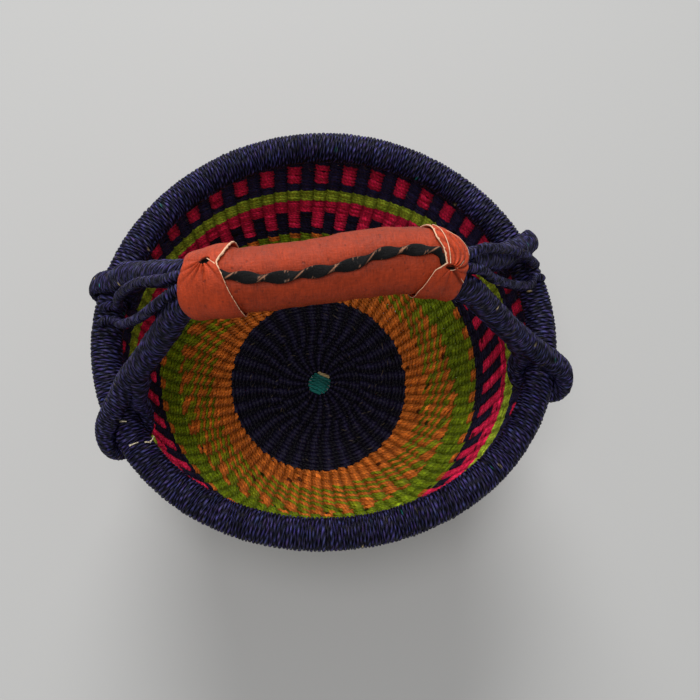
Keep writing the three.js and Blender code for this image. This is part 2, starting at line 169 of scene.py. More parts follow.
# How uneven the twining is: a strand's sway and lift in metres, its width and tone as shares, and
# the shares of strands that are much darker and much paler than the rest
UNEVEN_SWAY = 0.0003
UNEVEN_LIFT = 0.00036
UNEVEN_WIDTH = 0.12
UNEVEN_TONE = 0.2
DARK_STRANDS = 0.005
PALE_STRANDS = 0.007

# Middle of the grip in millimetres, from the left mouth of the leather to the right one
GRIP_POINTS = [
    (-93, 2, 305.5),
    (-80, 0.5, 316),
    (-58, -1, 322.5),
    (-12, -0.5, 325),
    (32, 1.5, 323.5),
    (56, -1, 318.5),
    (75, -5, 306.5),
]

# The handle's feet: place round the basket in degrees, start, slant and drift along the rim in
# millimetres, how flat the eyelet lies on the rim, which rope it belongs to (-1 front, 1 back),
# the shares of the grip where its binding starts, and the leg's points in millimetres
Foot = namedtuple("Foot", "degrees start slant drift keep rope shares points")
LEFT_SHARES = (0.22, 0.02)
RIGHT_SHARES = (0.78, 0.98)
FEET = {
    "left_front": Foot(
        198.5, -11, 19, 6, 0.64, -1, LEFT_SHARES, [(-108, -15, 281), (-125, -23.5, 253), (-142, -31.5, 227)]
    ),
    "right_front": Foot(
        343.4, 10, -16, -6, 0.8, -1, RIGHT_SHARES, [(92, -17, 280), (112, -25.5, 254), (133, -33, 229)]
    ),
    "left_back": Foot(
        162, 0, 3, 0, 0.44, 1, LEFT_SHARES, [(-108, 23, 279), (-125, 35, 250), (-142, 46, 225)]
    ),
    "right_back": Foot(
        18.9, -3, 5, 0, 0.52, 1, RIGHT_SHARES, [(94, 12, 284), (113, 22, 256), (135, 36, 230)]
    ),
}

# The tie cords: place round the basket in degrees, shares of the grip where the ends lie, the back
# and the front strand's points in millimetres, and how the cord dives into the rim, as distances out
# and up in millimetres
TIES = {
    "left": (
        170.4,
        (0.2, 0.13, 0.07),
        [(-101.5, 6, 314), (-112, 12, 298), (-124.5, 19.5, 275), (-136, 25.5, 249), (-146, 30, 222)],
        [(-101.5, -5, 315), (-109.5, -6, 304), (-122, -2, 275), (-137, 5.5, 241), (-147, 13, 217)],
        [(-9, 20), (-2, 16.2), (2.5, 11), (2.5, 3.5)],
    ),
    "right": (
        10.4,
        (0.83, 0.88, 0.93),
        [(84, 6.5, 318), (100, 13, 298), (119, 21.5, 271), (135, 24.5, 251), (151.5, 27, 224)],
        [(82, -5, 314), (96.5, -3, 290), (116, 2, 260), (135.5, 8, 234), (149.5, 14, 217)],
        [(-4, 20.5), (1, 16.5), (5.5, 11), (4, 3.5)],
    ),
}


# Colours


def dyed(red, green, blue):
    """Display colour from 0 to 255 as linear light: the usual curve with its straight foot."""
    shown = np.array([red, green, blue]) / 255
    return tuple(np.where(shown <= 0.04045, shown / 12.92, ((shown + 0.055) / 1.055) ** 2.4))


# Colours: the painted shade between the straws of a bundle, the marks on each leather, and the lace's
# scuffed edge
BUNDLE_SHADE = dyed(140, 118, 78)
TAN_MARKS = dyed(92, 34, 22)
BLACK_MARKS = dyed(96, 92, 88)
RAW_MARKS = dyed(150, 104, 76)
SCUFF = dyed(176, 122, 92)


# Settings that a user would change


class BasketWeave(bpy.types.PropertyGroup):
    """Sizes of the twined weft."""

    row_pitch: FloatProperty(
        name="Row pitch", description="Height of one row of weft", default=0.0037, unit="LENGTH"
    )
    lift: FloatProperty(
        name="Lift", description="How far a strand stands off its stake", default=0.0016, unit="LENGTH"
    )
    cross: FloatProperty(
        name="Crossing",
        description="Half the distance between crossing strands",
        default=0.0021,
        unit="LENGTH",
    )
    width: FloatProperty(
        name="Half width", description="Half the width of a strand", default=0.0025, unit="LENGTH"
    )
    thickness: FloatProperty(
        name="Half thickness", description="Half the thickness of a strand", default=0.0011, unit="LENGTH"
    )
    stake: FloatProperty(
        name="Stake", description="Radius of a stake", default=0.0012, unit="LENGTH"
    )


class BasketBinding(bpy.types.PropertyGroup):
    """Sizes of the straw wound round the rim, the legs and the cords."""

    rim_turn: FloatProperty(
        name="Rim turn", description="Width of one turn on the rim", default=0.0027, unit="LENGTH"
    )
    leg_turn: FloatProperty(
        name="Leg turn", description="Width of one turn on a leg", default=0.0027, unit="LENGTH"
    )
    cord_turn: FloatProperty(
        name="Cord turn", description="Width of one turn on a tie cord", default=0.0025, unit="LENGTH"
    )
    groove: FloatProperty(
        name="Groove", description="Depth of the groove between turns", default=0.0014, unit="LENGTH"
    )


class BasketColours(bpy.types.PropertyGroup):
    """Colours of the dyed straw and the leather."""

    navy: FloatVectorProperty(
        name="Navy straw", description="Top rows, rim and handle", default=dyed(35, 32, 64), subtype="COLOR"
    )
    # Darker navy for the base and the comb; on the base it is partly painted shade, deep in the bowl.
    deep_navy: FloatVectorProperty(
        name="Deep navy straw", description="Base and comb", default=dyed(24, 21, 44), subtype="COLOR"
    )
    orange: FloatVectorProperty(
        name="Orange straw", description="First wall band", default=dyed(198, 105, 36), subtype="COLOR"
    )
    green: FloatVectorProperty(
        name="Green straw", description="Green band", default=dyed(108, 126, 17), subtype="COLOR"
    )
    moss: FloatVectorProperty(
        name="Moss straw", description="Green of the mixed band", default=dyed(120, 126, 18), subtype="COLOR"
    )
    magenta: FloatVectorProperty(
        name="Magenta straw",
        description="Ring, teeth and squares",
        default=dyed(214, 32, 74),
        subtype="COLOR",
    )
    lime: FloatVectorProperty(
        name="Lime straw", description="Ring under the squares", default=dyed(154, 172, 48), subtype="COLOR"
    )
    teal: FloatVectorProperty(
        name="Teal straw", description="Start knot", default=dyed(24, 104, 98), subtype="COLOR"
    )
    pale: FloatVectorProperty(
        name="Undyed straw", description="Cores and flecks", default=dyed(201, 180, 130), subtype="COLOR"
    )
    leather: FloatVectorProperty(
        name="Leather", description="Sleeve and cuffs", default=dyed(143, 48, 20), subtype="COLOR"
    )
    raw_edge: FloatVectorProperty(
        name="Raw edge", description="Cut edge of the leather", default=dyed(206, 166, 136), subtype="COLOR"
    )
    lace: FloatVectorProperty(
        name="Lace", description="Strip along the grip", default=dyed(14, 14, 15), subtype="COLOR"
    )


class BasketStage(bpy.types.PropertyGroup):
    """Floor and light."""

    floor: FloatVectorProperty(
        name="Floor", description="Colour of the floor", default=dyed(174, 174, 173), subtype="COLOR"
    )
    lamp: FloatProperty(name="Lamp", description="Power of the soft lamp", default=23.0, unit="POWER")
    window: FloatProperty(name="Window", description="Power of the low light", default=180.0, unit="POWER")
    sky: FloatProperty(name="Sky", description="Strength of the even light from all round", default=0.33)


def settings(name):
    """One of the basket's groups of settings in this scene."""
    return getattr(bpy.context.scene, "basket_" + name)


def dye_of(name):
    """One of the basket's colours."""
    return np.array(getattr(settings("colours"), name))


# Shader maths


class Wire:
    """A socket's number in shader maths. Each operator adds the Math node that works it out."""

    def __init__(self, sheet, socket):
        self.sheet = sheet
        self.socket = socket

    def __add__(self, other):
        return self.sheet.math("ADD", self, other)

    def __sub__(self, other):
        return self.sheet.math("SUBTRACT", self, other)

    def __rsub__(self, other):
        return self.sheet.math("SUBTRACT", other, self)

    def __mul__(self, other):
        return self.sheet.math("MULTIPLY", self, other)

    def __truediv__(self, other):
        return self.sheet.math("DIVIDE", self, other)

    __radd__ = __add__
    __rmul__ = __mul__

    def __pow__(self, power):
        return self.sheet.math("POWER", self, power)

    def turned(self):
        """A wave from 0 to 1: half of one plus the sine of so many whole turns."""
        return self.sheet.math("SINE", self * (2 * math.pi)) * 0.5 + 0.5

    def above(self, low, high):
        """0 below low, 1 above high, and a smooth step between."""
        options = {"interpolation_type": "SMOOTHSTEP"}
        return self.sheet.node("ShaderNodeMapRange", options, {0: self, 1: low, 2: high})[0]


class Sheet:
    """The node tree of one material."""

    def __init__(self, name):
        self.material = bpy.data.materials.new(name)
        self.material.use_nodes = True
        self.tree = self.material.node_tree
        self.tree.nodes.clear()

    def node(self, kind, options, inputs):
        """Adds a node: its settings first, then the values or links of its sockets."""
        made = self.tree.nodes.new(kind)
        for key, value in options.items():
            setattr(made, key, value)
        for key, value in inputs.items():
            if isinstance(value, Wire):
                self.tree.links.new(value.socket, made.inputs[key])
            else:
                made.inputs[key].default_value = value
        return [Wire(self, socket) for socket in made.outputs]

    def math(self, operation, *values):
        return self.node("ShaderNodeMath", {"operation": operation}, dict(enumerate(values)))[0]

    def object_place(self):
        return self.node("ShaderNodeTexCoord", {}, {})[3]

    def straw_place(self):
        return self.node("ShaderNodeUVMap", {"uv_map": "along_and_across"}, {})[0]

    def noise(self, place, scale, detail=2.0, roughness=0.5):
        inputs = {"Vector": place, "Scale": scale, "Detail": detail, "Roughness": roughness}
        return self.node("ShaderNodeTexNoise", {}, inputs)[0]

    def streaks(self, place, scale, detail=2.0, roughness=0.5):
        """Noise with a scale of its own in each direction."""
        stretched = self.node("ShaderNodeVectorMath", {"operation": "MULTIPLY"}, {0: place, 1: scale})[0]
        return self.noise(stretched, 1.0, detail, roughness)

    def mixed(self, share, first, second, blend="MIX"):
        options = {"data_type": "RGBA", "blend_type": blend}
        return self.node("ShaderNodeMix", options, {0: share, 6: first, 7: second})[2]

    def grey(self, level):
        return self.node("ShaderNodeCombineColor", {}, {0: level, 1: level, 2: level})[0]

    def attribute(self, name):
        return self.node("ShaderNodeAttribute", {"attribute_name": name}, {})

    def bump(self, height, distance, strength):
        inputs = {"Height": height, "Distance": distance, "Strength": strength}
        return self.node("ShaderNodeBump", {}, inputs)[0]

    def surface(self, colour, roughness, specular=0.5, **more):
        """The finished material: a Principled shader with those inputs and an output."""
        inputs = {"Base Color": colour, "Roughness": roughness, "Specular IOR Level": specular, **more}
        shader = self.node("ShaderNodeBsdfPrincipled", {}, inputs)[0]
        self.node("ShaderNodeOutputMaterial", {}, {"Surface": shader})
        return self.material


def opaque(colour):
    return (*colour, 1.0)


def straw_material(name, ply=0.22, slant=TWIST, bead=0.0042):
    """Dyed split straw: fine fibres along each strand, cloudy dye, and a soft waxy gloss. ply is how
    much the strand's twist shows, in relief and as painted shade in its grooves and a painted
    highlight on its backs, and it repeats after slant across the strand and bead along it."""
    sheet = Sheet(name)
    dye_and_shade = sheet.attribute("dye_and_shade")[0]
    place = sheet.straw_place()
    fibre = sheet.streaks(place, (130, 2400, 1), 3.0, 0.6)
    cloud = sheet.noise(sheet.object_place(), 60.0, 3.0)
    parts = sheet.node("ShaderNodeSeparateXYZ", {}, {0: place})
    loose = sheet.streaks(place, (60, 500, 1), 1.0)
    twist = (parts[0] / bead + parts[1] / slant + loose * 1.6).turned()
    # The twist's wave is painted light: it darkens the colour to 1 - ply in the twist's grooves, painted
    # shade, and brightens it to 1 + ply on its backs, painted highlight.
    tone = (fibre + cloud * 0.5 + 0.32) * ((twist**1.5) * (2 * ply) + (1 - ply))
    split = sheet.streaks(place, (60, 1000, 1), 1.0).above(0.69, 0.76)
    colour = sheet.mixed(1.0, dye_and_shade, sheet.grey(tone), "MULTIPLY")
    colour = sheet.mixed(split * 0.09, colour, opaque(dye_of("pale")))
    relief = sheet.bump(fibre * 0.6 + twist * (0.3 + 2 * ply), 0.0005, 0.9)
    return sheet.surface(colour, 0.66 - fibre * 0.3, 0.12, Normal=relief)


def core_material(name):
    """Undyed straw in a bundle: long pale fibres along the grip's direction."""
    sheet = Sheet(name)
    fibre = sheet.streaks(sheet.object_place(), (60, 900, 900), 3.0)
    # Painted shade: the fibre noise mixes in the darker colour between the straws.
    colour = sheet.mixed(fibre, opaque(BUNDLE_SHADE), opaque(dye_of("pale")))
    return sheet.surface(colour, 0.9 - fibre * 0.2, Normal=sheet.bump(fibre, 0.0005, 0.7))


def leather_material(name, marks, grain=1.0):
    """Tanned leather: cloudy dye, fine pores, faint creases round and along the grip, and small marks
    of a colour of their own. grain is how much the creases stand out."""
    sheet = Sheet(name)
    place = sheet.object_place()
    # The colour comes from the mesh: the leather with its painted shade and painted highlights. lit is 0
    # where the painted shade in the cuffs' holes makes it near black; there it gets no marks and no gloss.
    hide_and_shade, _, level, _ = sheet.attribute("dye_and_shade")
    lit = level.above(0.0005, 0.012)
    cloud = sheet.noise(place, 38.0, 4.0, 0.6)
    pore = sheet.node("ShaderNodeTexVoronoi", {"feature": "F1"}, {"Vector": place, "Scale": 700.0})[0]
    crease = sheet.streaks(place, (1100, 190, 190), 4.0, 0.7)
    weft = sheet.streaks(place, (200, 1000, 1000), 3.0, 0.7)
    fold = sheet.streaks(place, (150, 60, 60))
    mark = sheet.streaks(place, (420, 260, 260), 1.0).above(0.66, 0.76)
    tone = cloud * 0.8 + crease * 1.2 + weft * 0.8 + fold * 0.3 - 0.55
    shade = sheet.mixed(1.0, hide_and_shade, sheet.grey(tone), "MULTIPLY")
    shade = sheet.mixed(mark * lit * 0.6, shade, opaque(marks))
    height = pore * 0.3 + (crease + weft * 0.6) * grain + cloud * 0.8 + fold * 1.6 - mark * 0.4
    roughness = 1 - lit * (0.7 - cloud * 0.3 - crease * 0.16)
    return sheet.surface(shade, roughness, 0.18, Normal=sheet.bump(height, 0.0007, 0.7))


def floor_material():
    """A plain pale matt floor."""
    return Sheet("pale_floor").surface(opaque(settings("stage").floor), 0.9, 0.2)


def finish(name, make, *more):
    """The material of that name, made once."""
    return bpy.data.materials.get(name) or make(name, *more)


def straw():
    return finish("dyed_straw", straw_material)


def wound_straw():
    return finish("wound_straw", straw_material, 0.85, 0.0028, 0.0075)


# Meshes as grids of points


class Grid:
    """A surface on a grid of points whose columns run round and join. Its rows join too where they
    are wrapped, and else may end in caps. along and across are the texture's two directions."""

    def __init__(self, points, dye_and_shade, along, across, wrap_rows=False, caps=False):
        rows, columns = points.shape[:2]
        last = rows if wrap_rows else rows - 1
        i, j = np.meshgrid(np.arange(last), np.arange(columns), indexing="ij")
        below, beside = (i + 1) % rows, (j + 1) % columns
        corners = [i * columns + j, below * columns + j, below * columns + beside, i * columns + beside]
        self.points = points.reshape(-1, 3)
        self.dye_and_shade = np.broadcast_to(dye_and_shade, points.shape).reshape(-1, 3)
        self.quads = np.stack(corners, axis=-1).reshape(-1, 4)
        u = np.stack([along[i], along[i + 1], along[i + 1], along[i]], axis=-1).reshape(-1, 4)
        v = np.stack([across[j], across[j], across[j + 1], across[j + 1]], axis=-1).reshape(-1, 4)
        self.uv = np.stack([u, v], axis=-1)
        self.caps = [np.arange(columns)[::-1], (rows - 1) * columns + np.arange(columns)] if caps else []
        if self.volume() < 0:
            self.quads = self.quads[:, ::-1]
            self.uv = self.uv[:, ::-1]
            self.caps = [cap[::-1] for cap in self.caps]

    def volume(self):
        """Signed volume: the sum of the tetrahedra from the grid's own middle to each triangle."""
        p = self.points - self.points.mean(axis=0)
        a, b, c, d = (p[self.quads[:, k]] for k in range(4))
        return float(np.sum(np.cross(a, b) * c) + np.sum(np.cross(a, c) * d))


def piece(name, grids, material, replaced=()):
    """One object from several grids, riding on the basket and standing for its model nodes."""
    points = np.concatenate([g.points for g in grids])
    starts = np.cumsum([0] + [len(g.points) for g in grids[:-1]])
    quads = np.concatenate([g.quads + start for g, start in zip(grids, starts)])
    caps = [cap + start for g, start in zip(grids, starts) for cap in g.caps]
    corners = np.concatenate([quads.ravel(), *caps]).astype(np.int32)
    sizes = np.concatenate([np.full(len(quads), 4), [len(cap) for cap in caps]]).astype(np.int32)
    mesh = bpy.data.meshes.new(name)
    mesh.vertices.add(len(points))
    mesh.vertices.foreach_set("co", points.astype(np.float32).ravel())
    mesh.loops.add(len(corners))
    mesh.loops.foreach_set("vertex_index", corners)
    mesh.polygons.add(len(sizes))
    mesh.polygons.foreach_set("loop_start", np.concatenate([[0], np.cumsum(sizes)[:-1]]).astype(np.int32))
    mesh.polygons.foreach_set("loop_total", sizes)
    mesh.polygons.foreach_set("use_smooth", np.ones(len(sizes), bool))
    mesh.update(calc_edges=True)
    uv = np.zeros((len(corners), 2), np.float32)
    uv[: len(quads) * 4] = np.concatenate([g.uv for g in grids]).reshape(-1, 2)
    mesh.uv_layers.new(name="along_and_across").data.foreach_set("uv", uv.ravel())
    # The point colours: the dyes, with the painted shade and painted highlights of the weft, bindings and
    # leather.
    dye_and_shade = np.concatenate([g.dye_and_shade for g in grids])
    rgba = np.concatenate([dye_and_shade, np.ones((len(dye_and_shade), 1))], axis=1).astype(np.float32)
    mesh.attributes.new("dye_and_shade", "FLOAT_COLOR", "POINT").data.foreach_set("color", rgba.ravel())
    mesh.materials.append(material)
    made = bpy.data.objects.new(name, mesh)
    bpy.context.scene.collection.objects.link(made)
    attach(made, BODY)
    if replaced:
        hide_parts(*replaced)


def spline(points, steps):
    """Centripetal Catmull-Rom curve. Between two points it is the cubic that leaves and reaches them
    along slopes weighed by the square roots of the distances to their neighbours."""
    points = np.asarray(points, float)
    p = np.vstack([2 * points[0] - points[1], points, 2 * points[-1] - points[-2]])
    gaps = np.sqrt(np.linalg.norm(np.diff(p, axis=0), axis=1))[:, None]
    x0, x1, x2, x3 = p[:-3], p[1:-2], p[2:-1], p[3:]
    d0, d1, d2 = gaps[:-2], gaps[1:-1], gaps[2:]
    leave = ((x1 - x0) / d0 - (x2 - x0) / (d0 + d1) + (x2 - x1) / d1) * d1
    reach = ((x2 - x1) / d1 - (x3 - x1) / (d1 + d2) + (x3 - x2) / d2) * d1
    t = np.linspace(0, 1, steps, endpoint=False)[None, :, None]
    square = (-3 * x1 + 3 * x2 - 2 * leave - reach)[:, None]
    cube = (2 * x1 - 2 * x2 + leave + reach)[:, None]
    curve = x1[:, None] + leave[:, None] * t + square * t**2 + cube * t**3
    return np.vstack([curve.reshape(-1, points.shape[1]), points[-1]])


class Route:
    """A smooth route through points, followed by distance."""

    def __init__(self, points):
        self.line = spline(points, 40)
        gaps = np.linalg.norm(np.diff(self.line, axis=0), axis=1)
        self.distances = np.concatenate([[0], np.cumsum(gaps)])
        self.length = self.distances[-1]

    def at(self, distance):
        return np.stack([np.interp(distance, self.distances, axis) for axis in self.line.T], axis=-1)

    def direction(self, distance):
        """Unit vector along the route: the difference of the points 1 mm ahead and 1 mm behind."""
        ahead = self.at(np.minimum(distance + 1 * MM, self.length))
        behind = self.at(np.maximum(distance - 1 * MM, 0))
        return unit(ahead - behind)


def unit(vectors):
    return vectors / np.linalg.norm(vectors, axis=-1, keepdims=True)


def evenly_round(count):
    """So many angles, evenly round a turn."""
    return np.arange(count) * 2 * np.pi / count


def angle_past(angle, start):
    """How far an angle lies past another, between minus and plus half a turn."""
    return np.angle(np.exp(1j * (angle - start)))


def smoothstep(value, low, high):
    """0 below low, 1 above high, and 3t^2 - 2t^3 between."""
    t = np.clip((value - low) / (high - low), 0, 1)
    return t * t * (3 - 2 * t)


def cross_frame(along, reference):
    """Two unit vectors square to a direction: the reference made square to it, and their cross."""
    side = unit(reference - along * np.sum(reference * along, axis=-1, keepdims=True))
    return side, np.cross(along, side)


# The bowl


def shape_bowl(radius, height, angle):
    """A round bowl's point on the oval, saddle-shaped one: the radius grows by the oval and the
    height falls by the saddle, each times the cosine of twice the angle and a step up the wall."""
    wave = np.cos(2 * angle)
    reach = radius + OVAL * wave * smoothstep(height, OVAL_STARTS, SHAPE_ENDS)
    rise = height - SADDLE * wave * smoothstep(height, SADDLE_STARTS, SHAPE_ENDS)
    return np.stack([reach * np.cos(angle), reach * np.sin(angle), rise], axis=-1)


BASE_POINTS = [(0, BASE_MIDDLE), (0.04, BASE_MIDDLE), (0.078, BASE_MIDDLE)]
WALL_LINE = Route(BASE_POINTS + [(r * MM, z * MM) for r, z in WALL_POINTS])


def wall(along, angle):
    """Middle of the weft, by the distance out over the base and up the wall, and the angle. The rows
    sag by a bell curve of the angle, which grows and fades with height. The stakes lean with the
    cosine of the angle, and crowd at the sides with the sine of twice the angle. Near the middle of
    the base they swirl."""
    starts, full, fades, ends = SAG_HEIGHTS
    height = WALL_LINE.at(along)[..., 1]
    lean = smoothstep(height, SADDLE_STARTS, LEAN_WHOLE)
    angle = angle + LEAN * lean * np.cos(angle) - CROWD * lean * np.sin(2 * angle)
    angle = angle + SWIRL * (1 - smoothstep(along, *SWIRL_FADES))
    away = (np.degrees(angle) - SAG_DEGREES + 180) % 360 - 180
    dip = SAG_LIFT - SAG * np.exp(-((away / SAG_SPREAD) ** 2))
    dip = dip * smoothstep(height, starts, full) * (1 - smoothstep(height, fades, ends))
    section = WALL_LINE.at(along + dip)
    return shape_bowl(section[..., 0], section[..., 1], angle)


def round_wall(along, angle):
    """A short step round the wall, between the points a little ahead and a little behind."""
    return wall(along, angle + 0.004) - wall(along, angle - 0.004)


def inward(along, angle):
    """Unit vector square to the wall, towards the inside: the cross of its two slopes."""
    up = wall(along + 1 * MM, angle) - wall(along - 1 * MM, angle)
    return unit(np.cross(up, round_wall(along, angle)))


def distance_at_height(height):
    """How far over the base and up the wall a height lies."""
    return float(np.interp(height, WALL_LINE.line[:, 1], WALL_LINE.distances))


def twined_rows(along, stakes, dyes, seed, slope, peak=0.65, valley=0.6, stray=0.0):
    """Rows of twining: in each row two flat strands wind round each other, a half turn for each
    stake, so each shows inside on every second stake and outside on the others. At turn t a strand's
    middle stands off the wall by lift times a power of cos t and along it by crossing times sin t,
    and its flat section turns with it. dyes are colours by row, stake and strand. slope is the share
    of the crossing that this band uses, which slants its strands. peak is the power: a small one
    makes broad ribs, a large one narrow ribs. valley is how much painted shade darkens them between
    the stakes, and stray is the share of places where the two strands' colours are swapped. The
    strands' edges get a little painted shade too. Here and there a strand is much darker or paler."""
    weave = settings("weave")
    rng = np.random.default_rng(seed)
    rows = len(along)
    part = np.array([0, 0.18, 0.36, 0.5, 0.64, 0.82])
    spot = (np.arange(stakes)[:, None] + part).ravel()
    near = np.floor(spot).astype(int)
    blend = spot - near
    side = evenly_round(6)
    # Painted shade: each strand's colour is up to 12% darker towards its edges.
    edge = 1 - 0.12 * np.abs(np.cos(side)) ** 2
    across = np.arange(len(side) + 1) * TWIST / len(side)
    reach = np.linalg.norm(wall(along, np.zeros(rows))[:, :2], axis=1)
    grids = []

    def per_stake(spread):
        values = rng.normal(0, spread, (rows, stakes))
        return values[:, near] * (1 - blend) + values[:, (near + 1) % stakes] * blend

    sway = per_stake(UNEVEN_SWAY)
    swapped = (rng.random((rows, stakes)) < stray)[:, near][..., None]
    shown = np.broadcast_to(dyes, (rows, stakes, 2, 3))[:, np.rint(spot).astype(int) % stakes]
    for strand in range(2):
        turn = np.pi * spot[None] + strand * np.pi
        rise = np.sign(np.cos(turn)) * np.abs(np.cos(turn)) ** peak
        lift = (weave.lift + per_stake(UNEVEN_LIFT)) * rise
        half = weave.width * (0.92 + 0.08 * np.cos(2 * turn)) * (1 + per_stake(UNEVEN_WIDTH))
        thick = weave.thickness * (1 + 0.6 * np.sin(turn) ** 2)
        t = turn[:, :, None]
        wide = half[:, :, None] * np.cos(side)
        deep = thick[:, :, None] * np.sin(side)
        over = slope * weave.cross * np.sin(t) + wide * np.cos(t) + deep * np.sin(t) + sway[:, :, None]
        off = lift[:, :, None] - wide * np.sin(t) + deep * np.cos(t)
        place = np.broadcast_to((spot * 2 * np.pi / stakes)[None, :, None], over.shape)
        middle = np.broadcast_to(along[:, None, None], over.shape)
        points = wall(middle + over, place) + off[..., None] * inward(middle, place)
        points[..., 2] = np.maximum(points[..., 2], 0)
        # Painted shade: the colour darkens by the valley where the strand dives between the stakes, and is
        # brightest over them.
        shade = 1.05 - valley * (1 - np.abs(np.cos(turn)) ** (2 * peak))
        tone = np.clip(1 + per_stake(UNEVEN_TONE), 0.5, 1.7) * shade
        odd = rng.random((rows, stakes))[:, near]
        tone = tone * (1 - 0.85 * (odd < DARK_STRANDS) + 0.9 * (odd > 1 - PALE_STRANDS))
        own = np.where(swapped, shown[:, :, 1 - strand], shown[:, :, strand])
        colour = own[:, :, None, :] * tone[:, :, None, None] * edge[None, None, :, None]
        for row in range(rows):
            length = np.append(spot, stakes) * 2 * np.pi * reach[row] / stakes + rng.random()
            grids.append(Grid(points[row], colour[row], length, across, wrap_rows=True))
    return grids


def dye_rows(pattern):
    """Colours by row, stake and strand, the same at each stake. A row has one colour's name, or one
    name for each strand."""
    pairs = [(row, row) if isinstance(row, str) else row for row in pattern]
    return np.array([[[dye_of(name) for name in pair]] for pair in pairs])


def dye_steps(first, count, pattern, changes):
    """Colours by row, stake and strand where the colours change at different rows round the wall. The
    rows are count rows from first, and changes has, for each change, its row at each stake."""
    row = first + np.arange(count)[:, None]
    passed = sum((row >= change).astype(int) for change in np.broadcast_arrays(*changes))
    return dye_rows(pattern)[passed, 0]


def rows_late(edge, stakes):
    """How many rows late an edge's colour ends at each stake."""
    return np.rint(np.interp(np.degrees(evenly_round(stakes)), *zip(*edge), period=360))


def rows_between(start, end, count):
    """Distances of so many rows, evenly between two distances on the wall."""
    pitch = (end - start) / count
    return start + pitch * (np.arange(count) + 0.5)


def count_rows(start, end):
    """How many rows of weft fit between two distances on the wall."""
    return round((end - start) / settings("weave").row_pitch)


def wall_dyes(rows):
    """The dyes of the wall's bands, by how many rows each band has. The mixed band's colours take
    turns, and in its last rows they keep one order, so that its stitches stand in columns. The green
    band has tabs of orange at its foot and its top, and the comb's teeth join the magenta over them."""
    mixed = [("moss", "orange"), ("orange", "moss")] * 3 + [("moss", "orange")] + [("orange", "moss")] * 3
    mixed_edge = len(mixed) + 1 + rows_late(MIXED_EDGE, LOWER_STAKES)
    changes = [np.minimum(row, mixed_edge - 1) for row in range(1, len(mixed) + 1)] + [mixed_edge]
    mixed_dyes = dye_steps(0, len(mixed), mixed + ["orange", "green"], changes)
    tab = ("orange", "green")
    pattern = [tab, "green", tab, "deep_navy", ("magenta", "deep_navy"), "magenta"]
    orange, _, green, comb, magenta, lime, top = rows
    foot = (rows_late(MIXED_EDGE, WALL_STAKES) == 0).astype(int)
    green_edge = green + rows_late(GREEN_EDGE, WALL_STAKES)
    comb_edge = green + comb + rows_late(COMB_EDGE, WALL_STAKES)
    changes = [foot, green_edge - 2, green_edge, green + TOOTH_FOOT, comb_edge]
    top_rows = ["navy"] * SQUARE_FOOT + [("magenta", "navy")] * SQUARES
    return [
        dye_rows(["orange"] * orange),
        mixed_dyes,
        dye_steps(0, green, pattern, changes),
        dye_steps(green, comb, pattern, changes),
        dye_steps(green + comb, magenta, pattern, changes),
        dye_rows(["lime"] * lime),
        dye_rows(top_rows + ["navy"] * (top - len(top_rows))),
    ]


# Bindings


def wander(place, angle, seed, size):
    """Slow, seamless drift: a sum of waves of 14 to 60 mm along the route, each turned by a whole
    number of times the angle round it."""
    rng = np.random.default_rng(seed)
    drift = np.zeros(np.broadcast(place, angle).shape)
    for turns in (0, 1, 1, 2, 3):
        wave = 2 * np.pi / rng.uniform(0.014, 0.06)
        strength = rng.normal()
        phase = place * wave + turns * angle + rng.uniform(0, 6.28)
        drift = drift + strength * np.sin(phase) / (1 + turns)
    return size * drift


class Winding:
    """Straw wound round and round: turns side by side, each with a round back and a groove to each
    side. The back's height over the groove is the square root of 1 - x^2, where x runs from -1 to 1
    across the turn. It holds each line's place from 0 to 1 along the route, its back, and its colour:
    the dye, darkened by painted shade in the grooves and brightened by a painted highlight on the
    backs. Flecks of undyed or teal straw lie on some turns."""

    def __init__(self, turns, around, seed, flecks):
        rng = np.random.default_rng(seed)
        share = np.array([0, 0.1, 0.28, 0.5, 0.72, 0.9])
        edges = np.concatenate([[0], np.cumsum(np.clip(rng.normal(1, 0.16, turns), 0.6, 1.5))])
        edges /= edges[-1]
        self.place = (edges[:-1, None] + np.diff(edges)[:, None] * share).ravel()
        self.back = np.tile(np.sqrt(1 - (2 * share - 1) ** 2), turns)[:, None]
        self.angle = evenly_round(around)
        self.lift = np.repeat(rng.normal(0, 0.0002, (turns, around)), len(share), axis=0) * self.back
        self.slip = np.repeat(np.cumsum(rng.uniform(0, TWIST, turns)), len(share))
        tone = np.clip(rng.normal(1, 0.25, (turns, 1, 1)), 0.4, 1.8)
        tone = tone * np.clip(rng.normal(1, 0.25, (turns, around, 1)), 0.4, 1.8)
        tint = 1 + rng.normal(0, 0.12, (turns, around, 3))
        # Painted light: the colour falls to 3% of the dye in the grooves, painted shade, and rises to 1.33
        # times it on the backs, painted highlight.
        shade = np.repeat(tone * tint, len(share), axis=0) * (0.03 + 1.3 * self.back[..., None] ** 3)
        self.dye_and_shade = dye_of("navy") * shade
        row = np.repeat(np.arange(turns), len(share))[:, None]
        for _ in range(flecks):
            at, spot, length = rng.integers(turns), rng.uniform(0, 6.28), rng.uniform(0.05, 0.18)
            fleck = (row == at) & (np.abs(angle_past(self.angle, spot)) < length) & (self.back > 0.7)
            colour = dye_of("pale" if rng.random() < 0.45 else "teal")
            self.dye_and_shade[fleck] = colour * rng.uniform(0.3, 0.9)

    def grid(self, points, length, radius, handed, **ends):
        """The surface through the points, with the straw's length round the route as its first
        texture direction. handed is -1 where the turns run the other way round the route."""
        u = self.place * length + self.slip
        across = handed * radius * np.append(self.angle, 2 * np.pi)
        grid = Grid(points, self.dye_and_shade, np.append(u, u[-1] + 0.0002), across, **ends)
        grid.uv = grid.uv[..., ::-1]
        return grid


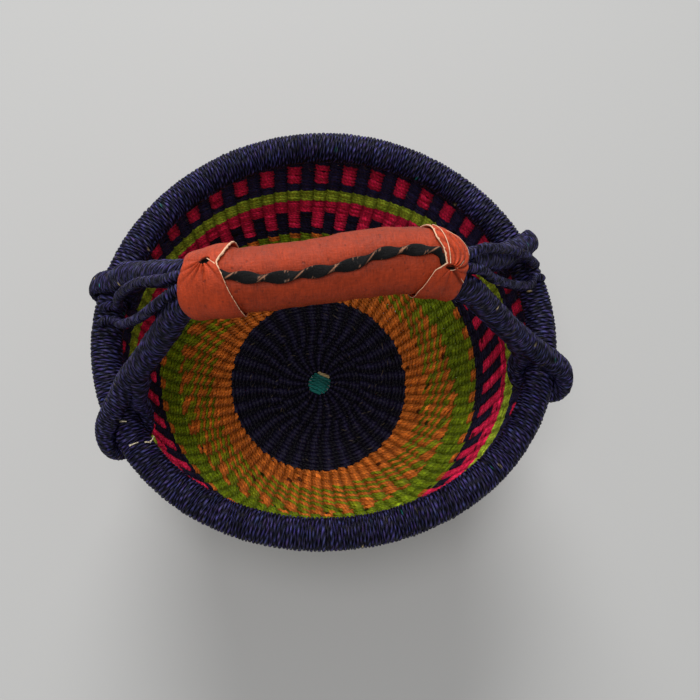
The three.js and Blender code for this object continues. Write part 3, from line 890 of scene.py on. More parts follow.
def bound(route, radius, turn, tilt, seed, groove, around=22, slack=1.0):
    """Straw wound round a route: each turn is a ring, tilted and drifting along the route, less so
    over the last 8 mm at each end."""
    turns = int(route.length / turn)
    winding = Winding(turns, around, seed, max(3, turns // 16))
    d, a = (winding.place * route.length)[:, None], winding.angle[None]
    fade = np.minimum(1, np.minimum(d, route.length - d) / 0.008)
    shift = (tilt * np.sin(a + 2.2 * np.sin(d * 23 + seed)) + wander(d, a, seed, 0.00035 * slack)) * fade
    side, up = cross_frame(route.direction(d + shift), np.array([0.0, 1.0, 0.0]))
    size = (radius - groove * (1 - winding.back) + winding.lift)[..., None]
    points = route.at(d + shift) + size * (side * np.cos(a)[..., None] + up * np.sin(a)[..., None])
    return winding.grid(points, route.length, radius, 1, caps=True)


def beside_rim(angle, out, up, along=0.0):
    """A point beside the rim: out from the basket, up, and along the rim. The rim's middle is an
    oval whose radius and height follow the cosine of twice the angle, and out is square to it."""
    angle = angle + np.asarray(along) / RIM_RADIUS
    radius = RIM_RADIUS + OVAL * np.cos(2 * angle)
    growth = -2 * OVAL * np.sin(2 * angle)
    size = np.hypot(radius, growth)
    east, north = np.cos(angle), np.sin(angle)
    x = radius * east + out * (radius * east + growth * north) / size
    y = radius * north + out * (radius * north - growth * east) / size
    z = RIM_HEIGHT - SADDLE * np.cos(2 * angle) + up
    return np.stack(np.broadcast_arrays(x, y, z), axis=-1)


def press_to_rim(points, keep):
    """Presses a rope flat on the rim: within the pressed zone a point's distance past the rim's
    surface shrinks to a share of itself, and further off it eases back to the whole."""
    middle = beside_rim(np.arctan2(points[..., 1], points[..., 0]), 0.0, 0.0)
    away = points - middle
    distance = np.linalg.norm(away, axis=-1, keepdims=True)
    share = keep + (1 - keep) * smoothstep(distance, PRESS_FULL, PRESS_NONE)
    return middle + away * (PRESS_FROM + (distance - PRESS_FROM) * share) / distance


GRIP = Route(np.array(GRIP_POINTS) * MM)


def grip_place(share, sideways, rise):
    """A point in or round the grip, by its share of the grip's line and how far it lies sideways
    (towards the back) and up, square to the line."""
    distance = np.asarray(share) * GRIP.length
    across, over = cross_frame(GRIP.direction(distance), np.array([0.0, 1.0, 0.0]))
    return GRIP.at(distance) + across * np.asarray(sideways)[..., None] + over * np.asarray(rise)[..., None]


def eyelet_points(foot, turns):
    """Points of an eyelet, by the turn round the rim's section: 90 degrees is on top, 0 outside and
    -90 below. It slides along the rim as it goes round."""
    share = (90 - np.array(turns, float)) / 270
    along = (foot.start + foot.slant * np.sin(np.pi * share) + foot.drift * share) * MM
    turn = np.radians(turns)
    return beside_rim(math.radians(foot.degrees), EYELET * np.cos(turn), EYELET * np.sin(turn), along)


def leg_grids(name):
    """One leg's binding: from inside the leather down the leg and round the rim, and its tail from
    under the rim up the inside into the leg."""
    foot = FEET[name]
    binding = settings("binding")
    grip = grip_place(foot.shares, foot.rope * ROPE_SPREAD * np.ones(2), np.zeros(2))
    leg = np.array(foot.points) * MM
    over = eyelet_points(foot, [48, 12, -24, -60, -96])
    along = (foot.start + 0.6 * foot.drift) * MM
    inside = beside_rim(math.radians(foot.degrees), -EYELET - 1 * MM, 15 * MM, along)
    join = leg[1] + (leg[2] - leg[1]) * 0.55
    tail = np.vstack([eyelet_points(foot, [-66, -102, -138, -174]), inside, join])
    seed = 10 * (1 + list(FEET).index(name))
    grids = []
    for number, route in enumerate((np.vstack([grip, leg, over]), tail)):
        grid = bound(Route(route), ROPE, binding.leg_turn, LEG_TILT, seed + number, binding.groove)
        grid.points = press_to_rim(grid.points, foot.keep)
        grids.append(grid)
    return grids


def cord_grids(name):
    """One tie cord: down both sides of the gap between the legs from the groove over the ropes, and
    through the top of the rim."""
    degrees, shares, back, front, dive = TIES[name]
    place = math.radians(degrees)
    side = 1 if math.cos(place) > 0 else -1

    def through(along):
        return [beside_rim(place, out * MM, up * MM, along * side) for out, up in dive]

    ones = np.ones(len(shares))
    route = np.vstack([
        grip_place(shares, CORD_SPREAD * ones, CORD_RISE * ones),
        np.array(back) * MM,
        through(CORD_SPAN),
        beside_rim(place, 2 * MM, -0.5 * MM, 0.0),
        through(-CORD_SPAN)[::-1],
        np.array(front)[::-1] * MM,
        grip_place(shares, -CORD_SPREAD * ones, CORD_RISE * ones)[::-1],
    ])
    binding = settings("binding")
    seed = 60 + len(name)
    return [bound(Route(route), CORD, binding.cord_turn, CORD_TILT, seed, 0.7 * binding.groove, 14, 0.6)]


# The cut ends of straw: radius in millimetres, and points as degrees round the basket, degrees round
# the rim's tube and height over it in millimetres
STRAW_ENDS = [
    (0.75, [(198.2, 82, 0), (198.7, 92, 0.9), (199.2, 106, 0.4)]),
    (0.7, [(204.9, 74, 0), (205.2, 88, 0.8), (205.5, 104, 0.5)]),
    (0.6, [(206.3, 124, 0), (206.8, 132, 0.7), (207.2, 141, 0.3)]),
    (0.6, [(206.9, 144, 0), (206.6, 154, 1.2), (206.0, 163, 2.6)]),
    (0.4, [(192.7, 58, 0), (192.4, 66, 0.6), (192.2, 76, 0.3)]),
]


def tube_grid(line, normal, radii, dye_and_shade, closed=False):
    """A thin tube: at each point of a line, a ring of that radius square to the line."""
    along = np.roll(line, -1, axis=0) - np.roll(line, 1, axis=0) if closed else np.gradient(line, axis=0)
    side, up = cross_frame(unit(along), normal)
    turn = evenly_round(8)[None, :, None]
    ring = side[:, None] * np.cos(turn) + up[:, None] * np.sin(turn)
    points = line[:, None] + np.array(radii)[:, None, None] * ring
    length = np.arange(len(line) + 1) * MM
    return Grid(points, dye_and_shade, length, np.linspace(0, 4 * MM, 9), wrap_rows=closed, caps=not closed)


def straw_end_grids():
    """The cut ends of straw, each a tube that thins to half."""
    grids = []
    for radius, spots in STRAW_ENDS:
        degrees, turn, lift = spline(spots, 5).T
        reach, turn = RIM_TUBE + lift * MM, np.radians(turn)
        line = beside_rim(np.radians(degrees), reach * np.cos(turn), reach * np.sin(turn))
        radii = radius * MM * np.linspace(1, 0.5, len(line))
        grids.append(tube_grid(line, np.array([0.0, 0.0, 1.0]), radii, dye_of("pale") * 0.7 + 0.25))
    return grids


# Leather

# Where the left cuff is pinched in a hole and the right one in a slit, and the slit's notch, as share
# of the grip and degrees from its top towards the back
LEFT_HOLE = (0.147, 17)
RIGHT_SLIT = (0.857, -28)
RIGHT_NOTCH = (0.908, -49)

# Folds that fan out from a spot: their height, number and reach, the middle and half width of the
# directions they take, a seed, and how far they bend in radians for each metre
Folds = namedtuple("Folds", "spot height number reach towards spread seed bend")

# The cuffs' inner edges and mouths, as degrees and share of the grip, the radius of the cut edge in
# millimetres at each angle, the folds, and the pit's spot, half length and half width
Cuff = namedtuple("Cuff", "edge mouth cut folds pit")
CUFFS = {
    "left": Cuff(
        edge=[
            (-180, 0.215), (-85, 0.225), (-57, 0.217), (-34, 0.205), (-10, 0.193), (11, 0.178),
            (29, 0.198), (55, 0.212), (120, 0.215),
        ],
        mouth=[
            (-180, 0.075), (-80, 0.062), (-47, 0.062), (-14, 0.07), (22, 0.083), (53, 0.074),
            (120, 0.075),
        ],
        cut=[(-180, 0.22), (-10, 0.25), (8, 0.45), (20, 0.72), (60, 0.62), (110, 0.25)],
        folds=[Folds(LEFT_HOLE, 0.0026, 13, 0.0055, math.pi + 0.95, 1.6, 3, 0)],
        pit=(LEFT_HOLE, 0.0028, 0.0025),
    ),
    "right": Cuff(
        edge=[
            (-180, 0.79), (-78, 0.784), (-63, 0.796), (-47, 0.807), (-31, 0.82), (-26, 0.846),
            (-13, 0.84), (3, 0.833), (20, 0.818), (59, 0.818), (120, 0.8),
        ],
        mouth=[
            (-180, 0.925), (-86, 0.93), (-49, 0.914), (-27, 0.915), (7, 0.92), (25, 0.912),
            (90, 0.915),
        ],
        cut=[(-180, 0.22), (-34, 0.26), (-24, 0.5), (0, 0.5), (60, 0.5), (110, 0.25)],
        folds=[
            Folds(RIGHT_SLIT, 0.0013, 15, 0.019, 0.35, 1.2, 4, 55),
            Folds(RIGHT_SLIT, 0.0006, 8, 0.009, -1.2, 1.3, 5, 0),
        ],
        pit=(RIGHT_SLIT, 0.0026, 0.0015),
    ),
}

# A cuff's section: share of the way from mouth to edge, and depth under its outside in millimetres,
# along the lip turned in at the mouth and along the underside
CUFF_LIP = [(0.16, 3.4), (0.08, 3.0), (0.03, 2.4), (0, 1.6), (0, 0.9), (0.02, 0.4), (0.05, 0.12)]
CUFF_UNDERSIDE = [(1, 1.2), (0.9, 1.2), (0.6, 1.2), (0.35, 1.6)]
CUFF_LENGTH = 0.022

# More pale lines: points by share and degrees, steps between them, the radius at each end and the
# height over the grip's sheath in millimetres. They are the second edge of the right cuff's folded
# lip, two painted highlights along its fold, the fold's edge down to the notch, and a painted
# highlight along a short crease between the left cuff's hole and its edge.
EDGES_AND_HIGHLIGHT_LINES = [
    ([(0.829, 62), (0.852, -22)], 29, (0.26, 0.26), 2.4),
    ([(0.857, -33), (0.868, -31), (0.879, -24), (0.888, -14)], 8, (0.22, 0.08), 1.4),
    ([(0.84, 46), (0.858, 40), (0.878, 28), (0.893, 12), (0.9, -4)], 8, (0.16, 0.08), 1.7),
    ([(0.894, -43), (0.907, -48)], 11, (0.1, 0.28), 1.2),
    ([(0.154, 20), (0.177, 8)], 13, (0.25, 0.45), 1.5),
]

# Shares of the grip at which the sleeve ends and at which the lace ends
SLEEVE_ENDS = (0.168, 0.852)
LACE_ENDS = (0.178, 0.846)

# The lace's path, as share of the grip and angle from its top in degrees, the shares where the strip
# stands on edge, and its half width and half thickness
LACE_PATH = spline(
    [
        (0.17, -6), (0.188, -9), (0.252, -18), (0.35, -24), (0.45, -22), (0.562, -18), (0.67, -7),
        (0.757, -5), (0.8, -4), (0.832, -16), (0.86, -22),
    ],
    12,
)
LACE_ON_EDGE = (0.13, 0.214, 0.296, 0.401, 0.504, 0.62, 0.714, 0.808, 0.88)
LACE_SECTION = (0.0036, 0.0013)

GRIP_AROUND = 340  # points of the leather round the grip
GRIP_ACROSS = np.linspace(0, 2 * np.pi * SLEEVE_RADIUS, GRIP_AROUND + 1)


def round_curve(degrees, spots, smooth=5.0):
    """A closed curve over the angle: straight between its listed spots, then evened out by the mean
    over a few degrees to each side."""
    listed, values = zip(*sorted(spots))
    shifts = np.linspace(-smooth, smooth, 9)
    return np.mean([np.interp(degrees + shift, listed, values, period=360) for shift in shifts], axis=0)


def from_spot(share, angle, spot):
    """How far the grip's surface lies from a spot on it, along the grip and round it."""
    return (share - spot[0]) * GRIP.length, angle_past(angle, math.radians(spot[1])) * SLEEVE_RADIUS


def puckers(share, angle, folds):
    """Folds that fan out from a stitched point: a wave over the direction from it, with round backs
    and sharp valleys, which grows from nothing at the point and dies away with distance, inside a
    window of directions."""
    rng = np.random.default_rng(folds.seed)
    x, y = from_spot(share, angle, folds.spot)
    distance = np.hypot(x, y)
    bearing = np.arctan2(y, x) - folds.bend * distance
    phase = folds.number * bearing + 1.3 * np.sin(3 * bearing + rng.uniform(0, 6)) + rng.uniform(0, 6)
    wave = 2 * np.abs(np.sin(phase / 2)) ** 0.7 - 1.25
    window = math.cos(folds.spread), math.cos(folds.spread * 0.55)
    inside = smoothstep(np.cos(bearing - folds.towards), *window)
    grown = np.exp(-distance / folds.reach) * smoothstep(distance, 0.0005, 0.003)
    return folds.height * wave * grown * inside


def near_point(share, angle, centre, long, wide):
    """1 at a point of the grip's surface, falling to 0 at so far along the grip and round it."""
    x, y = from_spot(share, angle, centre)
    return 1 - smoothstep(np.hypot(x / long, y / wide), 0.5, 1)


def near_line(share, angle, start, end, size):
    """1 on a line between two points of the grip's surface, fading as a bell curve of the distance
    from it over the size."""
    x, y = from_spot(share, angle, start)
    along, round_way = from_spot(end[0], math.radians(end[1]), start)
    t = np.clip((x * along + y * round_way) / (along**2 + round_way**2), 0, 1)
    return np.exp(-(np.hypot(x - t * along, y - t * round_way) / size) ** 2)


def grip_surface(share, angle, radius):
    """Points on a sheath round the grip: sideways is radius times the sine of the angle from the
    top, and up is radius times its cosine."""
    return grip_place(share, radius * np.sin(angle), radius * np.cos(angle))


def ripples(share, angle, size):
    """Uneven stuffing under the leather: a few slow waves along and round the grip."""
    x = share * GRIP.length
    quick = np.sin(x * 210 + 2 * angle) + 0.6 * np.sin(x * 330 + 3 * angle + 2)
    return size * (quick + 0.7 * np.sin(x * 95 - angle + 1))


def sleeve_grid():
    """The leather sleeve: a tube under both cuffs, with its stuffing's unevenness and a flatter back
    on the left, closed by its own thickness at each end. It lies a little lower under the lace."""
    start, end = SLEEVE_ENDS
    outer = np.linspace(start, end, 130)
    shares = np.concatenate([outer, outer[::-12]])
    thick = np.concatenate([np.zeros(len(outer)), np.full(len(shares) - len(outer), LEATHER)])
    s, a = np.broadcast_arrays(shares[:, None], evenly_round(GRIP_AROUND)[None])
    radius = SLEEVE_RADIUS - thick[:, None] + ripples(s, a, 0.00018) + 0.6 * ripples(2.3 * s, 2 * a, 0.00018)
    near_lace = np.exp(-((angle_past(a, lace_lean(s)) * SLEEVE_RADIUS / 0.0035) ** 2))
    under_cuffs = 1 - smoothstep(s, start, start + 0.006) + smoothstep(s, end - 0.008, end - 0.002)
    flatter = smoothstep(s, 0.2, 0.23) * (1 - smoothstep(s, 0.46, 0.58)) * (0.5 + 0.5 * np.cos(a - 0.95))
    radius = radius - 0.0007 * near_lace - 0.0026 * under_cuffs - 0.0019 * flatter
    # Painted shade: 18% darker beside the lace, and up to 22% darker on the back side of the grip.
    shade = (1 - 0.18 * near_lace) * (1 - 0.22 * smoothstep(np.sin(a), 0.1, 0.95))
    dye_and_shade = dye_of("leather") * shade[..., None]
    u = np.append(shares, shares[0]) * GRIP.length
    return Grid(grip_surface(s, a, radius), dye_and_shade, u, GRIP_ACROSS, wrap_rows=True)


def cuff_grid(side):
    """A leather cuff: from a lip turned in at its mouth, over the ropes' ends and the sleeve, to its
    raw inner edge, and back along its underside. The radius grows from the mouth to the edge, the
    mouth is a little flatter than round, and folds fan out from the stitched point."""
    cuff = CUFFS[side]
    angle = evenly_round(GRIP_AROUND)
    edge = round_curve(np.degrees(angle), cuff.edge)
    mouth = round_curve(np.degrees(angle), cuff.mouth)
    outside = np.linspace(0.1, 1, 86)
    section = np.vstack([CUFF_LIP, np.stack([outside, 0 * outside], axis=1), CUFF_UNDERSIDE])
    reach, under = section.T
    f, a = np.broadcast_arrays(reach[:, None], angle[None])
    share = mouth + (edge - mouth) * f
    outer = SLEEVE_RADIUS + 0.0004 + 0.0014 * smoothstep(f, 0.25, 0.75) + 0.0002 * smoothstep(f, 0.94, 1)
    folds = sum(puckers(share, a, fan) for fan in cuff.folds)
    pit = near_point(share, a, *cuff.pit)
    crease = near_line(share, a, RIGHT_SLIT, RIGHT_NOTCH, 0.0008) if side == "right" else 0.0
    bulge = 0.0011 * np.exp(-((f / 0.6) ** 2)) * smoothstep(-np.sin(a), 0.1, 0.9)
    radius = outer - under[:, None] * MM + folds - 0.0024 * pit - 0.0008 * crease + bulge
    radius = radius + ripples(share, a, 0.00013)
    flat = 1 - 0.13 * np.exp(-((f / 0.35) ** 2))
    points = grip_place(share, radius * np.sin(a), radius * np.cos(a) * flat)
    # Painted light: the folds' valleys are painted darker and their ridges lighter; shine lightens the cuffs
    # to 1.18 times, partly a lighter leather and partly painted sheen, and up to 0.15 more towards the back
    # side, a painted highlight; dark paints shade into the hole, near black, and along the slit's crease.
    fold_shading = np.clip(folds / 0.0007, -2.2, 0.8)
    shine = 1.18 + 0.15 * smoothstep(np.sin(a), -0.2, 0.9)
    dark = np.clip(1 - 1.3 * pit**0.4 - 0.55 * crease, 0.0001, 1)
    dye_and_shade = dye_of("leather") * ((shine + 0.4 * fold_shading) * dark)[..., None]
    return Grid(points, dye_and_shade, np.append(reach, reach[0]) * CUFF_LENGTH, GRIP_ACROSS, wrap_rows=True)


def thread_grid(shares, degrees, radii, lift, closed=False):
    """A thin pale line in the raw edge's colour on the grip's surface, along a line given by share and
    angle. It makes the raw edges, and the painted highlights along a fold and a crease.
    """
    angle = np.radians(degrees)
    radius = np.full(len(shares), SLEEVE_RADIUS + lift)
    line = grip_surface(shares, angle, radius)
    normal = grip_surface(shares, angle, radius + MM) - line
    # The raw edge's colour, which on the fold and crease lines is a painted highlight.
    return tube_grid(line, normal, radii, dye_of("raw_edge"), closed)


def edge_grid(side):
    """The pale cut edge of a cuff, frayed, and wider where the leather is folded back."""
    degrees = np.arange(0, 360, 2.0)
    angle = np.radians(degrees)
    frayed = np.sin(31 * angle) + np.sin(47 * angle + 1) + np.sin(83 * angle + 2)
    radii = round_curve(degrees, CUFFS[side].cut) * MM * (1 + 0.12 * frayed)
    shares = round_curve(degrees, CUFFS[side].edge) + 1.1 * radii * frayed
    return thread_grid(shares, degrees, radii, 0.0017, closed=True)


def edge_and_highlight_grids():
    """The pale lines of the leather's folds, edges and painted highlights, each a thread that thins or
    swells along its line.
    """
    grids = []
    for spots, steps, (first, last), lift in EDGES_AND_HIGHLIGHT_LINES:
        shares, degrees = spline(spots, steps).T
        radii = np.linspace(first, last, len(shares)) * MM
        grids.append(thread_grid(shares, degrees, radii, lift * MM))
    return grids


def lace_lean(share):
    """Angle of the lace from the top of the grip: it wanders to the front between the cuffs."""
    return np.radians(np.interp(share, LACE_PATH[:, 0], LACE_PATH[:, 1]))


def lace_grid():
    """A strip twisted along the grip: its section is a thin lens whose two edges are raw. It dwells
    flat and turns over quickly between: the turn is 0.38 sin(2 pi q) - pi q after q half turns."""
    start, end = LACE_ENDS
    wide, deep = LACE_SECTION
    steps = 240
    share = start + (end - start) * np.linspace(0, 1, steps)
    q = np.interp(share, LACE_ON_EDGE, np.arange(len(LACE_ON_EDGE)) + 0.5)
    turn = 0.38 * np.sin(2 * np.pi * q) - np.pi * q
    side = evenly_round(16)
    edge_on = np.abs(np.sin(turn))
    w = (wide * (1 - 0.3 * edge_on))[:, None] * np.sign(np.cos(side)) * np.abs(np.cos(side)) ** 0.8
    d = deep * np.sin(side)[None] * (1 + 0.5 * edge_on[:, None])
    t = turn[:, None]
    across = w * np.cos(t) - d * np.sin(t)
    over = w * np.sin(t) + d * np.cos(t)
    lean = lace_lean(share)[:, None]
    degrees = np.degrees(lean + across / SLEEVE_RADIUS)
    past_left = share[:, None] - round_curve(degrees, CUFFS["left"].edge)
    past_right = round_curve(degrees, CUFFS["right"].edge) - share[:, None]
    free = smoothstep(np.minimum(past_left, past_right), -0.001, 0.01)
    ends = smoothstep(np.minimum(share - start, end - share), 0, 0.007)[:, None]
    ride = SLEEVE_RADIUS + 0.0012 - 0.0017 * (1 - free) - 0.0013 * (1 - ends)
    sideways = np.sin(lean) * (ride + over) + np.cos(lean) * across
    rise = np.cos(lean) * (ride + over) - np.sin(lean) * across
    points = grip_place(np.broadcast_to(share[:, None], sideways.shape), sideways, rise)
    raw = (np.abs(np.cos(side)) > 0.97) * 0.8 * smoothstep(edge_on, 0.5, 0.9)[:, None]
    often = 0.3 * smoothstep(np.sin(share * 90), 0.2, 1)[:, None]
    scuffed = (np.abs(np.cos(side)) > 0.6) & (np.random.default_rng(31).random((steps, 16)) < often)
    raw = np.maximum(raw, 0.5 * scuffed)[..., None]
    dye_and_shade = dye_of("lace") * (1 - raw) + np.array(SCUFF) * raw
    return Grid(points, dye_and_shade, np.linspace(0, 0.12, steps + 1), np.linspace(0, 0.012, 17), caps=True)


# Operators, one for each piece or group of like pieces


class BASKET_OT_stage(bpy.types.Operator):
    """Adds the floor, the two soft lights, the even light and the camera."""

    bl_idname = "basket.stage"
    bl_label = "Stage"

    # The camera that looks down on the basket: its place, and the directions it looks and has up
    PLACE = (-0.04772, -0.14655, 0.72062)
    LOOKS = (0.11039, 0.23838, -0.96488)
    UP = (0.09948, 0.96328, 0.24937)
    LENS = 38.13

    # How wide each light is and where it hangs, the point they face, and the floor's gap
    LAMP = (1.1, (-0.3, -0.15, 2.2))
    WINDOW = (2.4, (0.0, 3.4, 2.3))
    FACED = (0, 0, 0.15)
    FLOOR_GAP = 0.0004

    def light(self, name, power, size, place):
        """A round soft light of that size, which faces the basket."""
        data = bpy.data.lights.new(name, "AREA")
        data.energy = power
        data.shape = "DISK"
        data.size = size
        made = bpy.data.objects.new(name, data)
        made.location = place
        made.rotation_mode = "QUATERNION"
        made.rotation_quaternion = (Vector(place) - Vector(self.FACED)).to_track_quat("Z", "Y")
        bpy.context.scene.collection.objects.link(made)

    def execute(self, context):
        stage = settings("stage")
        bpy.ops.mesh.primitive_plane_add(size=6.0, location=(0, 0, -self.FLOOR_GAP))
        floor = context.object
        floor.name = "floor"
        floor.data.materials.append(floor_material())
        self.light("soft_lamp", stage.lamp, *self.LAMP)
        self.light("window", stage.window, *self.WINDOW)
        world = bpy.data.worlds.new("even_light")
        world.use_nodes = True
        background = world.node_tree.nodes["Background"]
        background.inputs["Color"].default_value = (1, 1, 1, 1)
        background.inputs["Strength"].default_value = stage.sky
        context.scene.world = world
        camera_data = bpy.data.cameras.new("camera")
        camera_data.lens = self.LENS
        camera_data.sensor_width = 36
        camera_data.clip_start = 0.01
        camera = bpy.data.objects.new("camera", camera_data)
        looks, up = np.array(self.LOOKS), np.array(self.UP)
        turned = np.eye(4)
        turned[:3] = np.stack([np.cross(looks, up), up, -looks, self.PLACE], axis=1)
        camera.matrix_world = Matrix(turned.tolist())
        context.scene.collection.objects.link(camera)
        context.scene.camera = camera
        context.scene.view_settings.view_transform = "Standard"
        return {"FINISHED"}


class BASKET_OT_start(bpy.types.Operator):
    """Makes the teal knot where the stakes cross: flat strands side by side over a low dome. A strand
    is a half circle's share of the knot's oval, and its height falls off with distance squared. The
    last strand is undyed."""

    bl_idname = "basket.start"
    bl_label = "Start knot"

    STRANDS = 7
    PITCH = 0.0031
    HALF_SIZE = (0.0106, 0.0115)  # half the knot's size along its strands and across them
    SECTION = (0.00168, 0.00105)  # half width and half thickness of a strand
    LEAN = math.radians(-33)

    def execute(self, context):
        steps, sides = 28, 10
        side = evenly_round(sides)
        cosine, sine = math.cos(self.LEAN), math.sin(self.LEAN)
        rng = np.random.default_rng(5)
        grids = []
        for number in range(self.STRANDS):
            offset = (number - (self.STRANDS - 1) / 2) * self.PITCH
            half = math.sqrt(1 - (offset / self.HALF_SIZE[1]) ** 2) * self.HALF_SIZE[0]
            x = np.linspace(-half, half, steps)[:, None]
            ease = np.sqrt(np.clip(1 - (x / (half + 0.0004)) ** 6, 0.02, 1))
            dome = 0.0026 - 16 * (x**2 + offset**2)
            y = offset + 0.0003 * np.sin(x * 300 + number) + self.SECTION[0] * ease * np.cos(side)
            z = BASE_MIDDLE + 0.0009 + dome + self.SECTION[1] * ease * np.sin(side)
            points = np.stack([x * cosine - y * sine, x * sine + y * cosine, z], axis=-1)
            tone = rng.uniform(0.45, 1.05)
            dye_and_shade = dye_of("pale") * 0.5 if number == self.STRANDS - 1 else dye_of("teal") * tone
            length, across = np.linspace(0, 2 * half, steps + 1), np.linspace(0, 0.006, sides + 1)
            grids.append(Grid(points, dye_and_shade, length, across, caps=True))
        piece("start_knot", grids, straw(), ["centre_start"])
        return {"FINISHED"}


class BASKET_OT_stakes(bpy.types.Operator):
    """Makes the stakes inside the weft: a thin round section along the wall's line at each angle.
    More stakes join them as the rows grow longer, and each run starts a little under the last."""

    bl_idname = "basket.stakes"
    bl_label = "Stakes"

    def execute(self, context):
        radius = settings("weave").stake
        mixed_end = distance_at_height(MIXED_TOP)
        runs = [
            (INNER_STAKES, 0.011, STAKES_JOIN),
            (BASE_STAKES, STAKES_JOIN - 0.003, BASE_RADIUS + 0.001),
            (LOWER_STAKES, BASE_RADIUS - 0.003, mixed_end + 0.001),
            (WALL_STAKES, mixed_end - 0.003, distance_at_height(WEFT_TOP)),
        ]
        grids = []
        dye_and_shade = dye_of("navy") * 0.6
        side = evenly_round(5)[None, :, None]
        across = np.linspace(0, 0.005, 6)
        for stakes, start, end in runs:
            along = np.linspace(start, end, max(8, round((end - start) / 0.006)))
            a = along[:, None]
            for place in evenly_round(stakes):
                angle = np.full(a.shape, place)
                ring = unit(round_wall(a, angle)) * np.cos(side) + inward(a, angle) * np.sin(side)
                points = wall(a, angle) + radius * ring
                grids.append(Grid(points, dye_and_shade, np.append(along, end), across, caps=True))
        piece("stakes", grids, straw())
        return {"FINISHED"}


class BASKET_OT_weft(bpy.types.Operator):
    """Twines the base, in narrow ribs, and every coloured band of the wall."""

    bl_idname = "basket.weft"
    bl_label = "Weft"

    BASE_RUNS = [(KNOT_EDGE, STAKES_JOIN, INNER_STAKES), (STAKES_JOIN, BASE_RADIUS, BASE_STAKES)]

    def execute(self, context):
        base = []
        for seed, (start, end, stakes) in enumerate(self.BASE_RUNS, 1):
            along = rows_between(start, end, count_rows(start, end))
            dyes = dye_rows(["deep_navy"] * len(along))
            base += twined_rows(along, stakes, dyes, seed, slope=0.4, peak=1.5, valley=0.85)
        piece("base_weft", base, straw(), ["base_weave"])
        ends = [distance_at_height(band.top) for band in BANDS]
        starts = [BASE_RADIUS, *ends[:-1]]
        dyes = wall_dyes([count_rows(start, end) for start, end in zip(starts, ends)])
        for seed, (band, start, end, dye_and_shade) in enumerate(zip(BANDS, starts, ends, dyes), 3):
            along = rows_between(start, end, len(dye_and_shade))
            grids = twined_rows(along, band.stakes, dye_and_shade, seed, band.slope, stray=band.stray)
            piece(band.piece, grids, straw(), [band.node])
        return {"FINISHED"}


class BASKET_OT_rim(bpy.types.Operator):
    """Winds the rim's binding: a closed round of turns over the rim's oval, saddle-shaped middle."""

    bl_idname = "basket.rim"
    bl_label = "Rim"

    def execute(self, context):
        binding = settings("binding")
        line = beside_rim(np.linspace(0, 2 * np.pi, 721), 0.0, 0.0)
        length = np.sum(np.linalg.norm(np.diff(line, axis=0), axis=1))
        turns = round(length / binding.rim_turn)
        winding = Winding(turns, 26, 21, turns // 9)
        place, turn = (winding.place * 2 * np.pi)[:, None], winding.angle[None]
        rng = np.random.default_rng(22)
        drift = np.zeros((len(place), 26))
        for waves, sway in ((9, 0), (23, 1), (41, 1), (67, 2), (95, 2), (151, 3)):
            strength = rng.normal()
            phase = waves * place + sway * turn + rng.uniform(0, 6.28)
            drift = drift + strength * np.sin(phase) / (1 + sway)
        slant = 0.0008 * np.cos(turn) * (1 + np.sin(3 * place + 1)) + 0.0006 * drift
        size = RIM_TUBE - binding.groove * (1 - winding.back) + winding.lift
        points = beside_rim(place + slant / RIM_RADIUS, size * np.cos(turn), size * np.sin(turn))
        grid = winding.grid(points, length, RIM_TUBE, -1, wrap_rows=True)
        piece("bound_rim", [grid], wound_straw(), ["rim_binding"])
        return {"FINISHED"}


class BASKET_OT_legs(bpy.types.Operator):
    """Winds the four legs with their eyelets and the two tie cords, and lays the cut ends of straw
    that peep out of the bindings beside the left front eyelet."""

    bl_idname = "basket.legs"
    bl_label = "Legs and cords"

    def execute(self, context):
        for name in FEET:
            piece(name + "_leg", leg_grids(name), wound_straw(), [name + "_leg_binding"])
        for name in TIES:
            piece(name + "_cord", cord_grids(name), wound_straw(), [name + "_tie_cord"])
        piece("straw_ends", straw_end_grids(), straw())
        return {"FINISHED"}


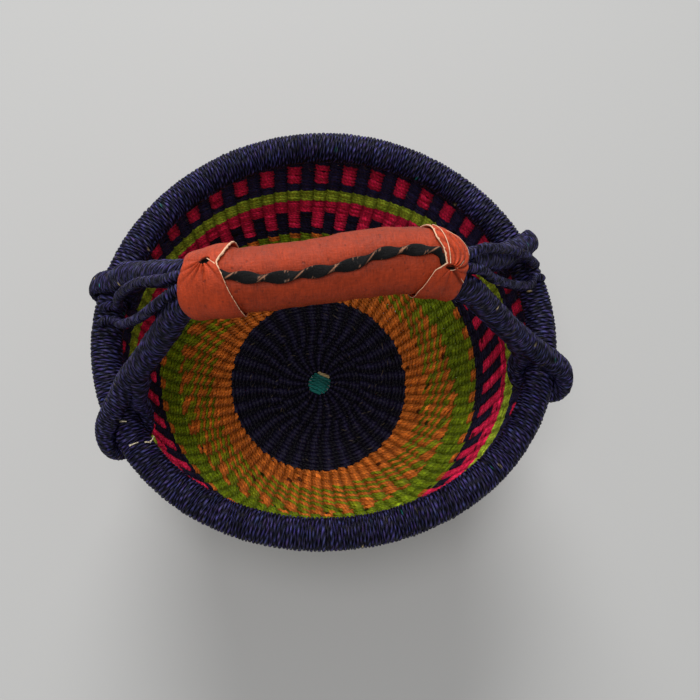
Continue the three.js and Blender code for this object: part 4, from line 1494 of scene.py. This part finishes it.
class BASKET_OT_leather(bpy.types.Operator):
    """Makes the leather sleeve, its two cuffs with their raw edges, and the twisted lace."""

    bl_idname = "basket.leather"
    bl_label = "Leather"

    def execute(self, context):
        tan = finish("tan_hide", leather_material, TAN_MARKS)
        black = finish("black_hide", leather_material, BLACK_MARKS, 3.0)
        raw = finish("raw_edge_hide", leather_material, RAW_MARKS, 0.4)
        piece("sleeve", [sleeve_grid()], tan, ["leather_sleeve"])
        for side in CUFFS:
            piece(side + "_cuff", [cuff_grid(side)], tan, [side + "_leather_cuff"])
            piece(side + "_raw_edge", [edge_grid(side)], raw)
        piece("fold_edges_and_highlights", edge_and_highlight_grids(), raw)
        piece("lace", [lace_grid()], black, ["black_leather_lace"])
        return {"FINISHED"}


class BASKET_OT_cores(bpy.types.Operator):
    """Gives the straw cores and packings of the model their finish."""

    bl_idname = "basket.cores"
    bl_label = "Cores"

    NODES = ("rim_core", "front_rope_core", "back_rope_core", "upper_grip_packing", "lower_grip_packing")

    def execute(self, context):
        material = finish("undyed_straw", core_material)
        for name in self.NODES:
            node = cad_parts[name]
            node.data.materials.clear()
            node.data.materials.append(material)
        return {"FINISHED"}


OPERATORS = (
    BASKET_OT_stage,
    BASKET_OT_cores,
    BASKET_OT_start,
    BASKET_OT_stakes,
    BASKET_OT_weft,
    BASKET_OT_rim,
    BASKET_OT_legs,
    BASKET_OT_leather,
)


class BASKET_PT_panel(bpy.types.Panel):
    """Lists the basket's operators and settings."""

    bl_idname = "BASKET_PT_panel"
    bl_label = "Basket"
    bl_space_type = "VIEW_3D"
    bl_region_type = "UI"
    bl_category = "Basket"

    def draw(self, context):
        for operator in OPERATORS:
            self.layout.operator(operator.bl_idname)
        for name, group in GROUPS.items():
            box = self.layout.box()
            box.label(text=name.capitalize())
            for key in group.__annotations__:
                box.prop(settings(name), key)


GROUPS = {
    "weave": BasketWeave,
    "binding": BasketBinding,
    "colours": BasketColours,
    "stage": BasketStage,
}


def register():
    for made in (*GROUPS.values(), *OPERATORS, BASKET_PT_panel):
        bpy.utils.register_class(made)
    for name, group in GROUPS.items():
        setattr(bpy.types.Scene, "basket_" + name, PointerProperty(type=group))


def unregister():
    for name in GROUPS:
        delattr(bpy.types.Scene, "basket_" + name)
    for made in (BASKET_PT_panel, *reversed(OPERATORS), *reversed(GROUPS.values())):
        bpy.utils.unregister_class(made)


def main():
    register()
    for operator in OPERATORS:
        group, name = operator.bl_idname.split(".")
        getattr(getattr(bpy.ops, group), name)()


if __name__ == "__main__":
    main()
